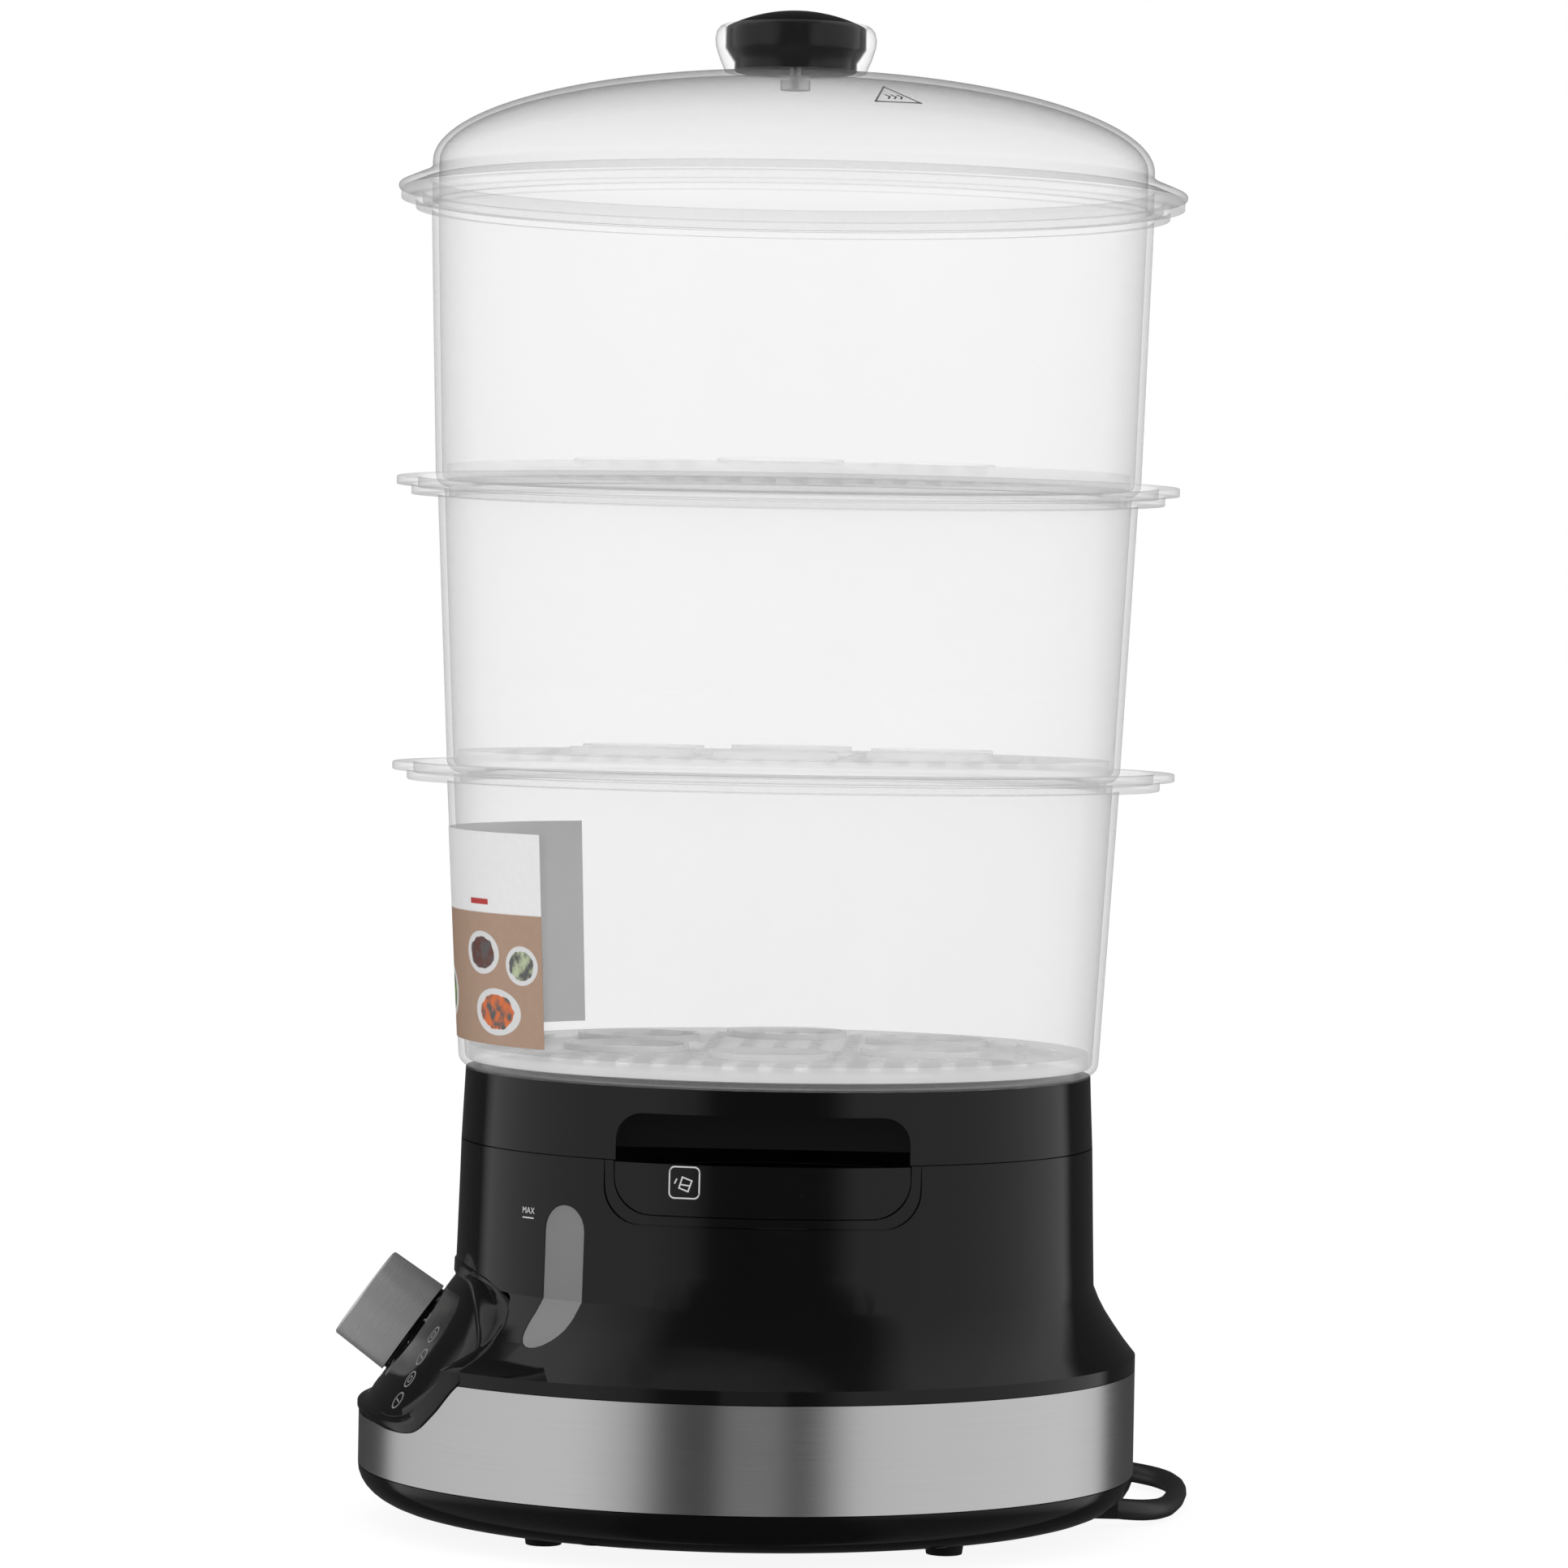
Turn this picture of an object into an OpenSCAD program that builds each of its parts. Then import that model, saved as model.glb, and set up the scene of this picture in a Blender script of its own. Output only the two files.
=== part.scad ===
// Three-tier electric food steamer: a powered base with a water tank and a
// 60 minute timer, a drip tray, three stacking bowls with lift-out floors, and a
// domed lid. Millimetres, +Z up. The origin is the centre of the round base on
// the worktop; the front, with the timer knob, faces -Y. The stack of tray,
// bowls and lid stands on its own upright axis a little behind that centre.

/* [Base] */
// Radius of the steel band and of the rim above it
base_r = 119.5; // [116:0.5:123]
// How far the stack's axis stands behind the centre of the base
stack_off = 8; // [6:0.5:9]
// Height of the underside of the bottom cover
cover_z = 4.5; // [4:0.1:5]
// Lower edge of the steel band
band_bottom = 17.6; // [17:0.1:18.4]
// Upper edge of the steel band
band_top = 50; // [48:0.5:51]
// Thickness of the steel band
band_t = 0.8; // [0.6:0.1:1.2]
// Height of the black rim above the band
rim_h = 4; // [3:0.5:5]
// Height of the flare between the rim and the upright neck
flare_h = 21; // [19:0.5:23]
// How far the neck stands in from the edge of the base
neck_in = 21.1; // [20:0.1:23]
// Height of the neck, up to the seam with the drip tray
neck_h = 42.8; // [40:0.2:45]
// How much narrower the neck is at the seam
neck_taper = 1.2; // [0.6:0.1:1.8]
// Wall of the moulded housings
wall = 2.5; // [2:0.1:3]
// Gap left between pieces that meet
gap = 0.3; // [0.2:0.05:0.4]

/* [Feet] */
// Radius of a rubber foot
foot_r = 6; // [5:0.5:7]
// Distance from the middle plane to each row of feet
foot_x = 62; // [56:1:68]
// Distance between the front and rear feet
foot_pitch = 120; // [110:1:124]
// How far the feet's middle lies behind the centre of the base
foot_mid = 3; // [0:0.5:5]
// Distance of each cover screw in from the edge of the base
screw_in = 15.5; // [14:0.5:17]
// Radius of a screw's head
screw_head_r = 3; // [2.5:0.1:3.4]
// Radius of a screw's shank
screw_r = 1.5; // [1.3:0.1:1.7]

/* [Control panel] */
// Angle of the timer's axis above the horizontal
panel_tilt = 35.5; // [33:0.5:38]
// Height of the panel's lower edge
panel_low = 34; // [32:0.5:36]
// Height at which the panel is widest
panel_mid = 53; // [51:0.5:55]
// Height of the panel's upper edge
panel_high = 75; // [73:0.5:76]
// Half width of the lower edge
panel_low_w = 66; // [62:1:70]
// Half width at the widest height
panel_mid_w = 88; // [84:1:90]
// Half width of the upper edge
panel_high_w = 62; // [58:1:66]
// Radius of the panel's curved face
panel_face_r = 150; // [140:1:165]
// Thickness of the panel's face
panel_t = 3; // [2.5:0.1:3.5]
// Width of the rim round the panel
panel_lip = 2.4; // [2:0.1:3]

/* [Timer] */
// Height of the knob's centre on the panel's face
knob_z = 57; // [55:0.5:59]
// Length of the timer knob
knob_len = 18.6; // [16:0.2:22]
// Radius of the knob at the panel
knob_base_r = 15.9; // [14:0.1:17]
// Radius of the knob at its end
knob_end_r = 15.4; // [13.5:0.1:16.5]
// Radius of the timer's shaft
shaft_r = 3; // [2.5:0.1:3.5]
// Running clearance of the shaft in its bush
shaft_fit = 0.06; // [0.03:0.01:0.1]
// Radius of the timer's case
timer_r = 19; // [17:0.5:19]
// Depth of the timer's case
timer_len = 22; // [18:0.5:23]
// Full turn of the timer from off to 60 minutes, in degrees
timer_turn = 300; // [240:10:330]

/* [Water] */
// Room between the housing's wall and the water tank
tank_room = 1.9; // [1.6:0.1:3]
// Depth of the tank's underside below the seam
tank_depth = 57.8; // [56:0.2:59]
// Wall of the tank
tank_wall = 2; // [1.6:0.1:2.4]
// Radius of the hole for the heater in the tank's floor
heater_hole_r = 46; // [42:0.5:50]
// Radius of the steam ring that stands round the heater
steam_ring_r = 60; // [56:0.5:66]
// Height of the steam ring
steam_ring_h = 44; // [38:0.5:48]
// Half width of the filling lip
lip_w = 44; // [40:0.5:46]
// Height of the filling lip, down from the seam
lip_h = 15.8; // [14:0.2:18]
// Direction of the level window, from +X towards the front, in degrees
window_angle = 37.2; // [34:0.2:40]
// Width of the level window
window_w = 15.5; // [13:0.5:17]
// Lower end of the level window
window_low = 61.8; // [60:0.2:64]
// Upper end of the level window
window_high = 103.4; // [100:0.2:105]

/* [Drip tray] */
// Height of the drip tray above the seam
tray_h = 21.7; // [20:0.1:24]
// How much narrower the tray is at its rim
tray_taper = 1; // [0.4:0.1:1.6]
// Radius of the steam chimney in the tray
chimney_r = 26; // [22:0.5:32]
// Half width of the hand hold and filling mouth in the tray
mouth_w = 43.5; // [40:0.5:45]
// Height of the mouth's roof above the seam
mouth_h = 14.2; // [12:0.2:15]
// Depth of the mouth, measured in from the neck
mouth_depth = 18; // [14:0.5:20]

/* [Bowls] */
// Height of the lowest bowl above the tray
bowl_h = 93.5; // [88:0.5:98]
// Distance from one bowl's flange to the next
bowl_pitch = 87.5; // [84:0.5:92]
// How far each flange stands out past the step under it
flange_w = 4.5; // [4:0.1:5.5]
// Thickness of a flange
flange_t = 2.5; // [2:0.1:3]
// Width of the highest bowl's shelf; the step has the same radius on all three
shelf_w = 4.9; // [4.4:0.1:6]
// Depth of the shelf below the flange's top
shelf_drop = 3.5; // [3:0.1:4.5]
// Wall of the bowls, floors and lid
clear_t = 2; // [1.6:0.1:2.4]
// How far each bowl's wall stands out past the tray at its bottom, lowest bowl first
bowl_over = [2.4, 7.4, 12.2];
// How much wider each bowl is at its shelf, lowest bowl first
bowl_draft = [4.8, 4, 2.5];
// Radius of the corner at the bottom of a bowl
bowl_corner = 4; // [3:0.5:5]
// Width of the ledge that carries a floor
ledge_w = 12; // [9:0.5:14]

/* [Floors] */
// Radius of the steam holes
hole_r = 2.1; // [1.5:0.1:2.6]
// Distance between columns of holes
hole_pitch = 10.7; // [9.5:0.1:12]
// Number of egg rings in a floor
egg_count = 6; // [5:1:7]
// Distance of each egg ring from the middle
egg_ring = 52; // [50:0.5:56]
// Radius of an egg ring
egg_r = 19; // [16:0.5:20]

/* [Lid] */
// How much narrower the lid's upright wall is than the bowl below
lid_in = 0.1; // [0:0.1:0.6]
// Height of the lid's dome above its wall
dome_h = 29; // [26:0.5:32]
// Height of the lid's wall above the flange of the bowl below
lid_wall_h = 9; // [7:0.5:11]
// How far the lid's sloping flange reaches past the bowls' flanges
lid_reach = 0.9; // [0.4:0.1:1.4]

/* [Lid knob] */
// Widest radius of the clear outer shell
grip_r = 24.8; // [23:0.1:27]
// Radius of the dark core
core_r = 21.4; // [20:0.1:22]
// Height of the core's crown above the lid
grip_h = 19.2; // [17:0.2:22]

/* [Cord] */
// Radius of the mains cord
cord_r = 3.25; // [3:0.05:3.4]
// Length of the strain relief
relief_len = 30; // [24:1:34]
// Distance between the turns of the coil
coil_pitch = 7.1; // [7:0.1:8]
// Radius of the coil's outermost turn
coil_r = 43; // [40:0.5:46]
// Radius of the plug's pins
pin_r = 2.4; // [2.3:0.1:2.5]
// Distance between the plug's pins
pin_pitch = 19; // [18.5:0.1:19.5]

/* [Hidden] */
$fn = 96;

eps = 0.01;
facets = 96;
rim_z = band_top + rim_h;
skirt_r = base_r - band_t - 0.2;
skirt_in = skirt_r - wall;
screw_ring = base_r - screw_in;
neck_z = rim_z + flare_h;
seam_z = neck_z + neck_h;
tank_floor_z = seam_z - tank_depth;
lip_z = seam_z - lip_h;
mouth_top = seam_z + mouth_h;
tray_top = seam_z + tray_h;
flange_z = tray_top + bowl_h;

neck_r = base_r - neck_in;
seam_r = neck_r - neck_taper;
tank_r = seam_r - wall - tank_room;
tray_r = seam_r - tray_taper;
bowl_low_r = [for (over = bowl_over) tray_r + over];
bowl_high_r = bowl_low_r + bowl_draft;
shelf_r = bowl_high_r[2] + shelf_w;
flange_r = shelf_r + flange_w;
lid_r = bowl_high_r[2] - lid_in;
lid_flange_r = flange_r + lid_reach;

// The flare's sections as [height, centre behind the base's, radius]; share says
// how far each one has gone from the neck to the rim.
flare_share = [1, 0.745, 0.495, 0.285, 0.14, 0.06, -0.01];
flare_z = [for (k = [0, 0.2, 0.42, 0.62, 0.79, 0.91, 1.02]) rim_z + k * (neck_z - rim_z)];
function flare(grow, sink) = [for (i = [0:len(flare_z) - 1])
    [flare_z[i] - sink, stack_off * (1 - flare_share[i]),
        neck_r + (base_r - neck_r) * flare_share[i] + grow]];

// The panel's face passes through the band's radius at its lower edge.
face_back = tan(panel_tilt);
knob_y = -base_r + (knob_z - panel_low) * face_back;

shelf_top = [for (i = [0:2]) flange_z + i * bowl_pitch - shelf_drop];
bowl_z = [tray_top + gap, shelf_top[0] + gap, shelf_top[1] + gap];
tray_in = tray_r - wall;
foot_ring_r = [for (i = [0:2]) min(bowl_low_r[i] - bowl_corner - 0.2,
    (i == 0 ? tray_in : bowl_high_r[i - 1] - clear_t) - 0.4)];
lid_z = shelf_top[2] + gap;
dome_z = shelf_top[2] + shelf_drop + lid_wall_h;
lid_top = dome_z + dome_h;
tank_top = seam_z - 3.8;
tray_bottom = seam_z - 3.2;

// ---- outlines ----
function unit(v) = v / norm(v);
function turn(a) = (a + 540) % 360 - 180;
function fillet(p, q, s, r, n) = let (
        u = unit(p - q), w = unit(s - q), half = acos(u * w) / 2,
        c = q + unit(u + w) * (r / sin(half)),
        a = q + u * (r / tan(half)) - c, b = q + w * (r / tan(half)) - c,
        a0 = atan2(a[1], a[0]), sweep = turn(atan2(b[1], b[0]) - a0))
    [for (i = [0:n]) c + r * [cos(a0 + sweep * i / n), sin(a0 + sweep * i / n)]];
function rounded(pts, r, n = 6) = let (m = len(pts))
    [for (i = [0:m - 1]) each fillet(pts[(i + m - 1) % m], pts[i], pts[(i + 1) % m], r[i], n)];
function arc(c, r, a0, a1, n = 8) = [for (i = [0:n])
    c + r * [cos(a0 + (a1 - a0) * i / n), sin(a0 + (a1 - a0) * i / n)]];
function oval(c, rx, ry, a0, a1, n = 10) = [for (i = [0:n])
    c + [rx * cos(a0 + (a1 - a0) * i / n), ry * sin(a0 + (a1 - a0) * i / n)]];

// A solid through round sections, each [height, y of its centre, radius].
module loft(s) {
    m = facets;
    k = len(s);
    polyhedron(
        points = [for (q = s) for (i = [0:m - 1])
            [q[2] * cos(360 * i / m), q[1] + q[2] * sin(360 * i / m), q[0]]],
        faces = concat(
            [[for (i = [0:m - 1]) i]],
            [[for (i = [m - 1:-1:0]) (k - 1) * m + i]],
            [for (j = [0:k - 2]) for (i = [0:m - 1])
                [j * m + i, (j + 1) * m + i, (j + 1) * m + (i + 1) % m, j * m + (i + 1) % m]]));
}

module stack() {
    translate([0, stack_off, 0]) children();
}

module ring(r_out, r_in, z0, z1) {
    translate([0, 0, z0]) difference() {
        cylinder(r = r_out, h = z1 - z0);
        translate([0, 0, -1]) cylinder(r = r_in, h = z1 - z0 + 2);
    }
}

// Places +Z along the timer's axis, out of the panel, and +Y up its slope.
module on_panel() {
    translate([0, knob_y, knob_z]) rotate([90 - panel_tilt, 0, 0]) children();
}

// ---- tubes ----
// Rings of n points along a route, each square to the way on.
function heading(p, i) = unit(p[min(i + 1, len(p) - 1)] - p[max(i - 1, 0)]);
function tube_points(p, r, n) = [for (i = [0:len(p) - 1]) let (
        t = heading(p, i), side = unit(cross(t, [0, 0, 1])), up = cross(side, t))
    for (j = [0:n - 1]) p[i] + r * (cos(360 * j / n) * side + sin(360 * j / n) * up)];
function tube_faces(k, n) = concat(
    [[for (j = [0:n - 1]) j]], [[for (j = [n - 1:-1:0]) (k - 1) * n + j]],
    [for (i = [0:k - 2]) for (j = [0:n - 1]) each [
        [i * n + j, (i + 1) * n + j, (i + 1) * n + (j + 1) % n],
        [i * n + j, (i + 1) * n + (j + 1) % n, i * n + (j + 1) % n]]]);
module tube(p, r, n) {
    polyhedron(points = tube_points(p, r, n), faces = tube_faces(len(p), n));
}
function run(p, i = 0) = i > len(p) - 2 ? 0 : norm(p[i + 1] - p[i]) + run(p, i + 1);
function bend(p) = min([for (i = [1:len(p) - 2]) let (
        a = p[i] - p[i - 1], b = p[i + 1] - p[i],
        w = acos(min(1, a * b / (norm(a) * norm(b)))))
    w < 0.01 ? 9999 : (norm(a) + norm(b)) / 2 / (w * PI / 180)]);

// ---- shape of the base ----
// The housing's outer form from the rim to the seam, grown all round by a step.
module housing_form(grow) {
    loft(concat([[rim_z - 1, 0, base_r - 0.1 + grow]], flare(grow - eps, 0)));
    translate([0, 0, band_top]) cylinder(r = base_r + grow, h = rim_h);
    stack() translate([0, 0, neck_z - 1])
        cylinder(r1 = neck_r + grow, r2 = seam_r + grow, h = seam_z - neck_z + 1);
}

module housing_cavity() {
    inner = flare(-wall - 0.4, 0.8);
    loft(concat([[band_top - 6, 0, skirt_in - 2]], inner));
    translate([0, 0, band_bottom - 1]) cylinder(r = skirt_in, h = band_top - band_bottom - 2);
    stack() translate([0, 0, neck_z - 2])
        cylinder(r1 = neck_r - wall, r2 = seam_r - wall, h = seam_z - neck_z + 3);
}

// Front outline of the control panel, in x and z, grown by a step.
function panel_outline(g) = rounded([
    [-panel_low_w - g, panel_low - g], [panel_low_w + g, panel_low - g],
    [panel_mid_w + 1.4 * g, panel_mid], [panel_high_w + g, panel_high + g],
    [-panel_high_w - g, panel_high + g], [-panel_mid_w - 1.4 * g, panel_mid]],
    [9, 9, 7, 8, 8, 7]);
module panel_prism(g) {
    translate([0, -base_r / 2, 0]) rotate([90, 0, 0])
        linear_extrude(height = base_r) polygon(panel_outline(g));
}
module face_cylinder(inset) {
    on_panel() translate([0, 0, -panel_face_r]) rotate([90, 0, 0])
        cylinder(r = panel_face_r - inset, h = 4 * base_r, center = true, $fn = 180);
}

// The filling lip's outline across the wall on the +X side, grown by a step.
module lip_prism(g, top) {
    w = lip_w + g;
    z = lip_z - g;
    rotate([90, 0, 90]) linear_extrude(height = base_r)
        polygon(concat([[w, top], [-w, top]], arc([-w + 11, z + 11], 11, 180, 270),
            arc([w - 11, z + 11], 11, 270, 360)));
}
module window_prism(g) {
    r = window_w / 2 + g;
    rotate([90, 0, 90 - window_angle]) linear_extrude(height = base_r + 10)
        polygon(concat(arc([0, window_high - window_w / 2], r, 0, 180, 12),
            arc([0, window_low + window_w / 2], r, 180, 360, 12)));
}

// ---- base ----
foot_places = [for (x = [-1, 1]) for (y = [-1, 1])
    [x * foot_x, foot_mid + y * foot_pitch / 2]];
boss_angles = [35, 145, 202, 338];
boss_r = 4;
foot_stem_r = 3;
tunnel_w = 8;
tunnel_top = 14.5;
gland_z = 8;
gland_y = 68;
cover_t = 2.2;
cover_round = [19.5, band_bottom - 0.2 - cover_z];

module at_bosses() {
    for (a = boss_angles) rotate([0, 0, a]) translate([screw_ring, 0, 0]) children();
}

module bottom_cover() color("#151515") {
    corner = [base_r - cover_round[0], band_bottom - 0.2];
    inner = cover_round - [cover_t, cover_t];
    spigot = skirt_in - gap;
    difference() {
        union() {
            rotate_extrude() polygon(concat([[0, cover_z + cover_t], [0, cover_z]],
                oval(corner, cover_round[0], cover_round[1], -90, 0),
                [[spigot, corner[1]], [spigot, corner[1] + 6],
                    [spigot - cover_t, corner[1] + 6]],
                oval(corner, inner[0] - 1.4, inner[1], 0, -90)));
            intersection() {
                translate([-tunnel_w - cover_t, gland_y - cover_t, cover_z])
                    cube([2 * (tunnel_w + cover_t), base_r, tunnel_top + cover_t - cover_z]);
                cylinder(r = base_r - 4, h = band_top);
            }
            at_bosses() translate([0, 0, cover_z + 1]) cylinder(r = boss_r + 1, h = 5);
        }
        translate([-tunnel_w, gland_y, cover_z - 1])
            cube([2 * tunnel_w, base_r, tunnel_top - cover_z + 1]);
        translate([0, gland_y, gland_z]) rotate([90, 0, 0])
            cylinder(r = 5.2, h = 3 * cover_t, center = true);
        for (p = foot_places) translate([p[0], p[1], 0])
            cylinder(r = foot_stem_r + 0.1, h = 2 * cover_z);
        at_bosses() {
            cylinder(r = screw_r + 0.2, h = band_bottom);
            cylinder(r = screw_head_r + 0.2, h = cover_z + 3);
        }
        // slots that let air in under the base
        for (x = [-3:3]) translate([x * 9 - 1.25, -32, 0]) cube([2.5, 24, 2 * cover_z]);
    }
}

module rubber_feet() color("#0d0d0d") for (p = foot_places) translate([p[0], p[1], 0]) {
    cylinder(r1 = foot_r - 0.6, r2 = foot_r, h = cover_z - 0.1);
    cylinder(r = foot_stem_r, h = cover_z + cover_t + 0.1);
    translate([0, 0, cover_z + cover_t + 0.1])
        cylinder(r1 = foot_stem_r + 1, r2 = foot_stem_r, h = 1.6);
}

module screw(len) {
    cylinder(r = screw_head_r, h = 2);
    translate([0, 0, 1]) cylinder(r = screw_r, h = len - 1);
}

module cover_screws() color("silver") at_bosses() translate([0, 0, cover_z + 1])
    screw(17);

module base_housing() color("#161616") {
    boss_z = cover_z + 6.2;
    difference() {
        union() {
            difference() {
                union() {
                    housing_form(0);
                    translate([0, 0, band_bottom]) cylinder(r = skirt_r, h = rim_z - band_bottom);
                }
                housing_cavity();
            }
            intersection() {
                at_bosses() translate([0, 0, boss_z]) cylinder(r = boss_r, h = neck_z - boss_z);
                union() {
                    housing_form(-1);
                    cylinder(r = skirt_in, h = rim_z);
                }
            }
            // ledge that carries the tank
            stack() ring(seam_r - wall + 0.5, tank_r + gap, tank_top - 5.6, tank_top - 2.6);
        }
        at_bosses() translate([0, 0, boss_z - 1]) cylinder(r = screw_r + 0.1, h = 16);
        panel_prism(gap);
        stack() {
            window_prism(0);
            for (s = [0, 180]) rotate([0, 0, s]) {
                lip_prism(0, seam_z + 1);
                // fine outer line round the filling lip
                difference() {
                    lip_prism(3, seam_z + 1);
                    lip_prism(2.4, seam_z + 1);
                    cylinder(r = neck_r - 1.4, h = 2 * seam_z);
                }
            }
        }
        translate([0, 0, seam_z - 0.15]) cylinder(r = base_r, h = 1);
    }
}

module steel_band() color("#b9b9b9") difference() {
    ring(base_r, base_r - band_t, band_bottom, band_top - 0.2);
    panel_prism(2 * gap);
}

module control_panel() color("#181818") {
    posts = timer_post_x;
    difference() {
        union() {
            difference() {
                intersection() {
                    panel_prism(0);
                    union() {
                        housing_form(0.6);
                        cylinder(r = base_r + 0.6, h = rim_z);
                        face_cylinder(0);
                    }
                }
                difference() {
                    panel_prism(-panel_lip);
                    face_cylinder(0);
                }
                intersection() {
                    panel_prism(-panel_lip);
                    face_cylinder(panel_t);
                }
                face_cylinder(panel_t + 5);
                stack() translate([0, 0, tank_floor_z - 2]) cylinder(r = tank_r + 1.2, h = seam_z);
            }
            on_panel() for (s = [-1, 1]) translate([s * posts, 0, plate_z + gap])
                cylinder(r = 3.4, h = -plate_z - panel_t + 1 - gap);
        }
        on_panel() {
            translate([0, 0, -20]) cylinder(r = shaft_r + 3, h = 40);
            for (s = [-1, 1]) translate([s * posts, 0, plate_z]) cylinder(r = screw_r + 0.1, h = 3.6);
        }
    }
}

// ---- timer, in the panel's frame ----
timer_post_x = 25;
plate_z = -7;
plate_t = 1.2;
case_z = plate_z - plate_t - 0.1;
bush_r = 5;
bell_r = 15;
bell_z = case_z - timer_len - 0.6;

module timer_case() color("#8c8c86") on_panel() difference() {
    union() {
        translate([0, 0, case_z - timer_len]) cylinder(r = timer_r, h = timer_len);
        translate([0, 0, case_z - 1]) cylinder(r = bush_r, h = plate_t + 4);
        translate([0, 0, bell_z - 7.4]) cylinder(r = 2.2, h = 9);
        for (s = [-1, 1]) translate([s * 10 - 3, -timer_r - 3, case_z - timer_len + 2])
            cube([6, 6, 1]);
    }
    translate([0, 0, case_z - timer_len + 4]) cylinder(r = shaft_r + shaft_fit, h = timer_len + 10);
}

module timer_plate() color("#b5b5ae") on_panel() translate([0, 0, plate_z - plate_t]) difference() {
    linear_extrude(height = plate_t) polygon(rounded([[-31, -14], [31, -14], [31, 14], [-31, 14]],
        [6, 6, 6, 6]));
    translate([0, 0, -1]) cylinder(r = bush_r + 0.1, h = 4);
    for (s = [-1, 1]) translate([s * timer_post_x, 0, -1]) cylinder(r = screw_r + 0.1, h = 4);
}

module timer_bell() color("#c9c9c4") on_panel() translate([0, 0, bell_z]) rotate([180, 0, 0])
    rotate_extrude() polygon(concat([[2.3, 7], [2.3, 6]], arc([bell_r - 5, 1], 5, 90, 0),
        [[bell_r, 0], [bell_r - 1, 0]], arc([bell_r - 5, 1], 4, 0, 90), [[2.3, 5]]));

module timer_screws() color("silver") on_panel() for (s = [-1, 1])
    translate([s * timer_post_x, 0, plate_z - plate_t - 2.1]) screw(6.5);

module timer_shaft() color("#d0d0d0") on_panel() difference() {
    translate([0, 0, case_z - timer_len + 4.5])
        cylinder(r = shaft_r, h = timer_len + knob_len - case_z - timer_len + timer_len - 12);
    translate([-shaft_r, shaft_r - 0.8, 2]) cube([2 * shaft_r, 3, knob_len]);
}

module timer_knob() color("#bdbdbd") on_panel() translate([0, 0, 0.8]) difference() {
    union() {
        difference() {
            rotate_extrude() polygon(concat([[0, 0], [knob_base_r, 0]],
                arc([knob_end_r - 0.8, knob_len - 0.8], 0.8, 0, 90, 5), [[0, knob_len]]));
            translate([0, 0, -1]) cylinder(r1 = knob_base_r - 2, r2 = knob_end_r - 2.2, h = knob_len - 1);
        }
        cylinder(r = shaft_r + 3, h = knob_len - 1);
    }
    translate([0, 0, -1]) cylinder(r = shaft_r + 0.05, h = knob_len - 3);
    // pointer line on the end and a flat that shows the setting by touch
    translate([-0.6, knob_end_r - 7, knob_len - 0.5]) cube([1.2, 8, 2]);
}

// ---- water and heat ----
heater_z = tank_floor_z + tank_wall;
element_r = 3.5;
element_ring = 32;
plate_low = heater_z - 2;

module water_tank() color("#d8dadb") stack() difference() {
    union() {
        rotate_extrude() polygon([[heater_hole_r, tank_floor_z], [tank_r - 13, tank_floor_z],
            [tank_r - 1.4, tank_floor_z + 14], [tank_r, tank_top - tank_wall],
            [seam_r - wall - gap, tank_top - tank_wall], [seam_r - wall - gap, tank_top],
            [tank_r - tank_wall, tank_top], [tank_r - 1.4 - tank_wall, tank_floor_z + 14.6],
            [tank_r - 13.8, heater_z], [heater_hole_r, heater_z]]);
        // three lugs that keep the steam ring in place
        for (a = [30, 150, 270]) rotate([0, 0, a])
            translate([steam_ring_r - 5.9, -4, heater_z - eps]) cube([3, 8, 5]);
    }
    for (a = [90, 270]) rotate([0, 0, a]) translate([tank_r - 0.5, -3, tank_top - 1]) cube([4, 6, 2]);
}

module tank_gasket() color("#8f8f8f") stack() {
    ring(heater_hole_r + 6, heater_hole_r - 1.6, heater_z, heater_z + 1);
    ring(heater_hole_r - 0.2, heater_hole_r - 1.6, tank_floor_z, heater_z + 1);
}

module heating_plate() color("#c4c4c4") stack() rotate_extrude() polygon([
    [0, plate_low], [heater_hole_r - 3, plate_low], [heater_hole_r - 1.8, plate_low + 1],
    [heater_hole_r - 1.8, heater_z + 1.1], [heater_hole_r + 5, heater_z + 1.1],
    [heater_hole_r + 5, heater_z + 2.3], [heater_hole_r - 5, heater_z + 2.3],
    [heater_hole_r - 8, heater_z + 4], [0, heater_z + 4]]);

module heating_element() color("#6d6a66") stack() translate([0, 0, plate_low - element_r - 0.1]) {
    rotate([0, 0, 120]) rotate_extrude(angle = 300) translate([element_ring, 0]) circle(r = element_r, $fn = 32);
    for (a = [126, 54]) rotate([0, 0, a]) translate([element_ring, 0, -14]) cylinder(r = 2, h = 14);
}

module element_bracket() color("#a8a8a8") stack() translate([0, 0, plate_low - 2 * element_r - 1.6]) {
    difference() {
        translate([-heater_hole_r - 9, -9, 0]) cube([2 * heater_hole_r + 18, 18, 1.4]);
        translate([0, 0, -1]) cylinder(r = 8.6, h = 4);
    }
    for (s = [-1, 1]) translate([s * (heater_hole_r + 6), 0, 0])
        cylinder(r = 3, h = 2 * element_r + 1.6 - tank_wall + tank_wall - 0.1);
}

module thermostat() color("#d9d3c4") stack() translate([0, 0, plate_low - 0.1 - 12]) {
    cylinder(r = 8.4, h = 12);
    for (s = [-1, 1]) translate([s * 5 - 0.4, -3, -8]) cube([0.8, 6, 8.5]);
}

module thermal_fuse() color("#c9a227") stack() translate([0, -16, plate_low - 2.6])
    rotate([0, 90, 0]) {
        cylinder(r = 2.4, h = 12, center = true);
        cylinder(r = 0.6, h = 34, center = true);
    }

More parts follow.
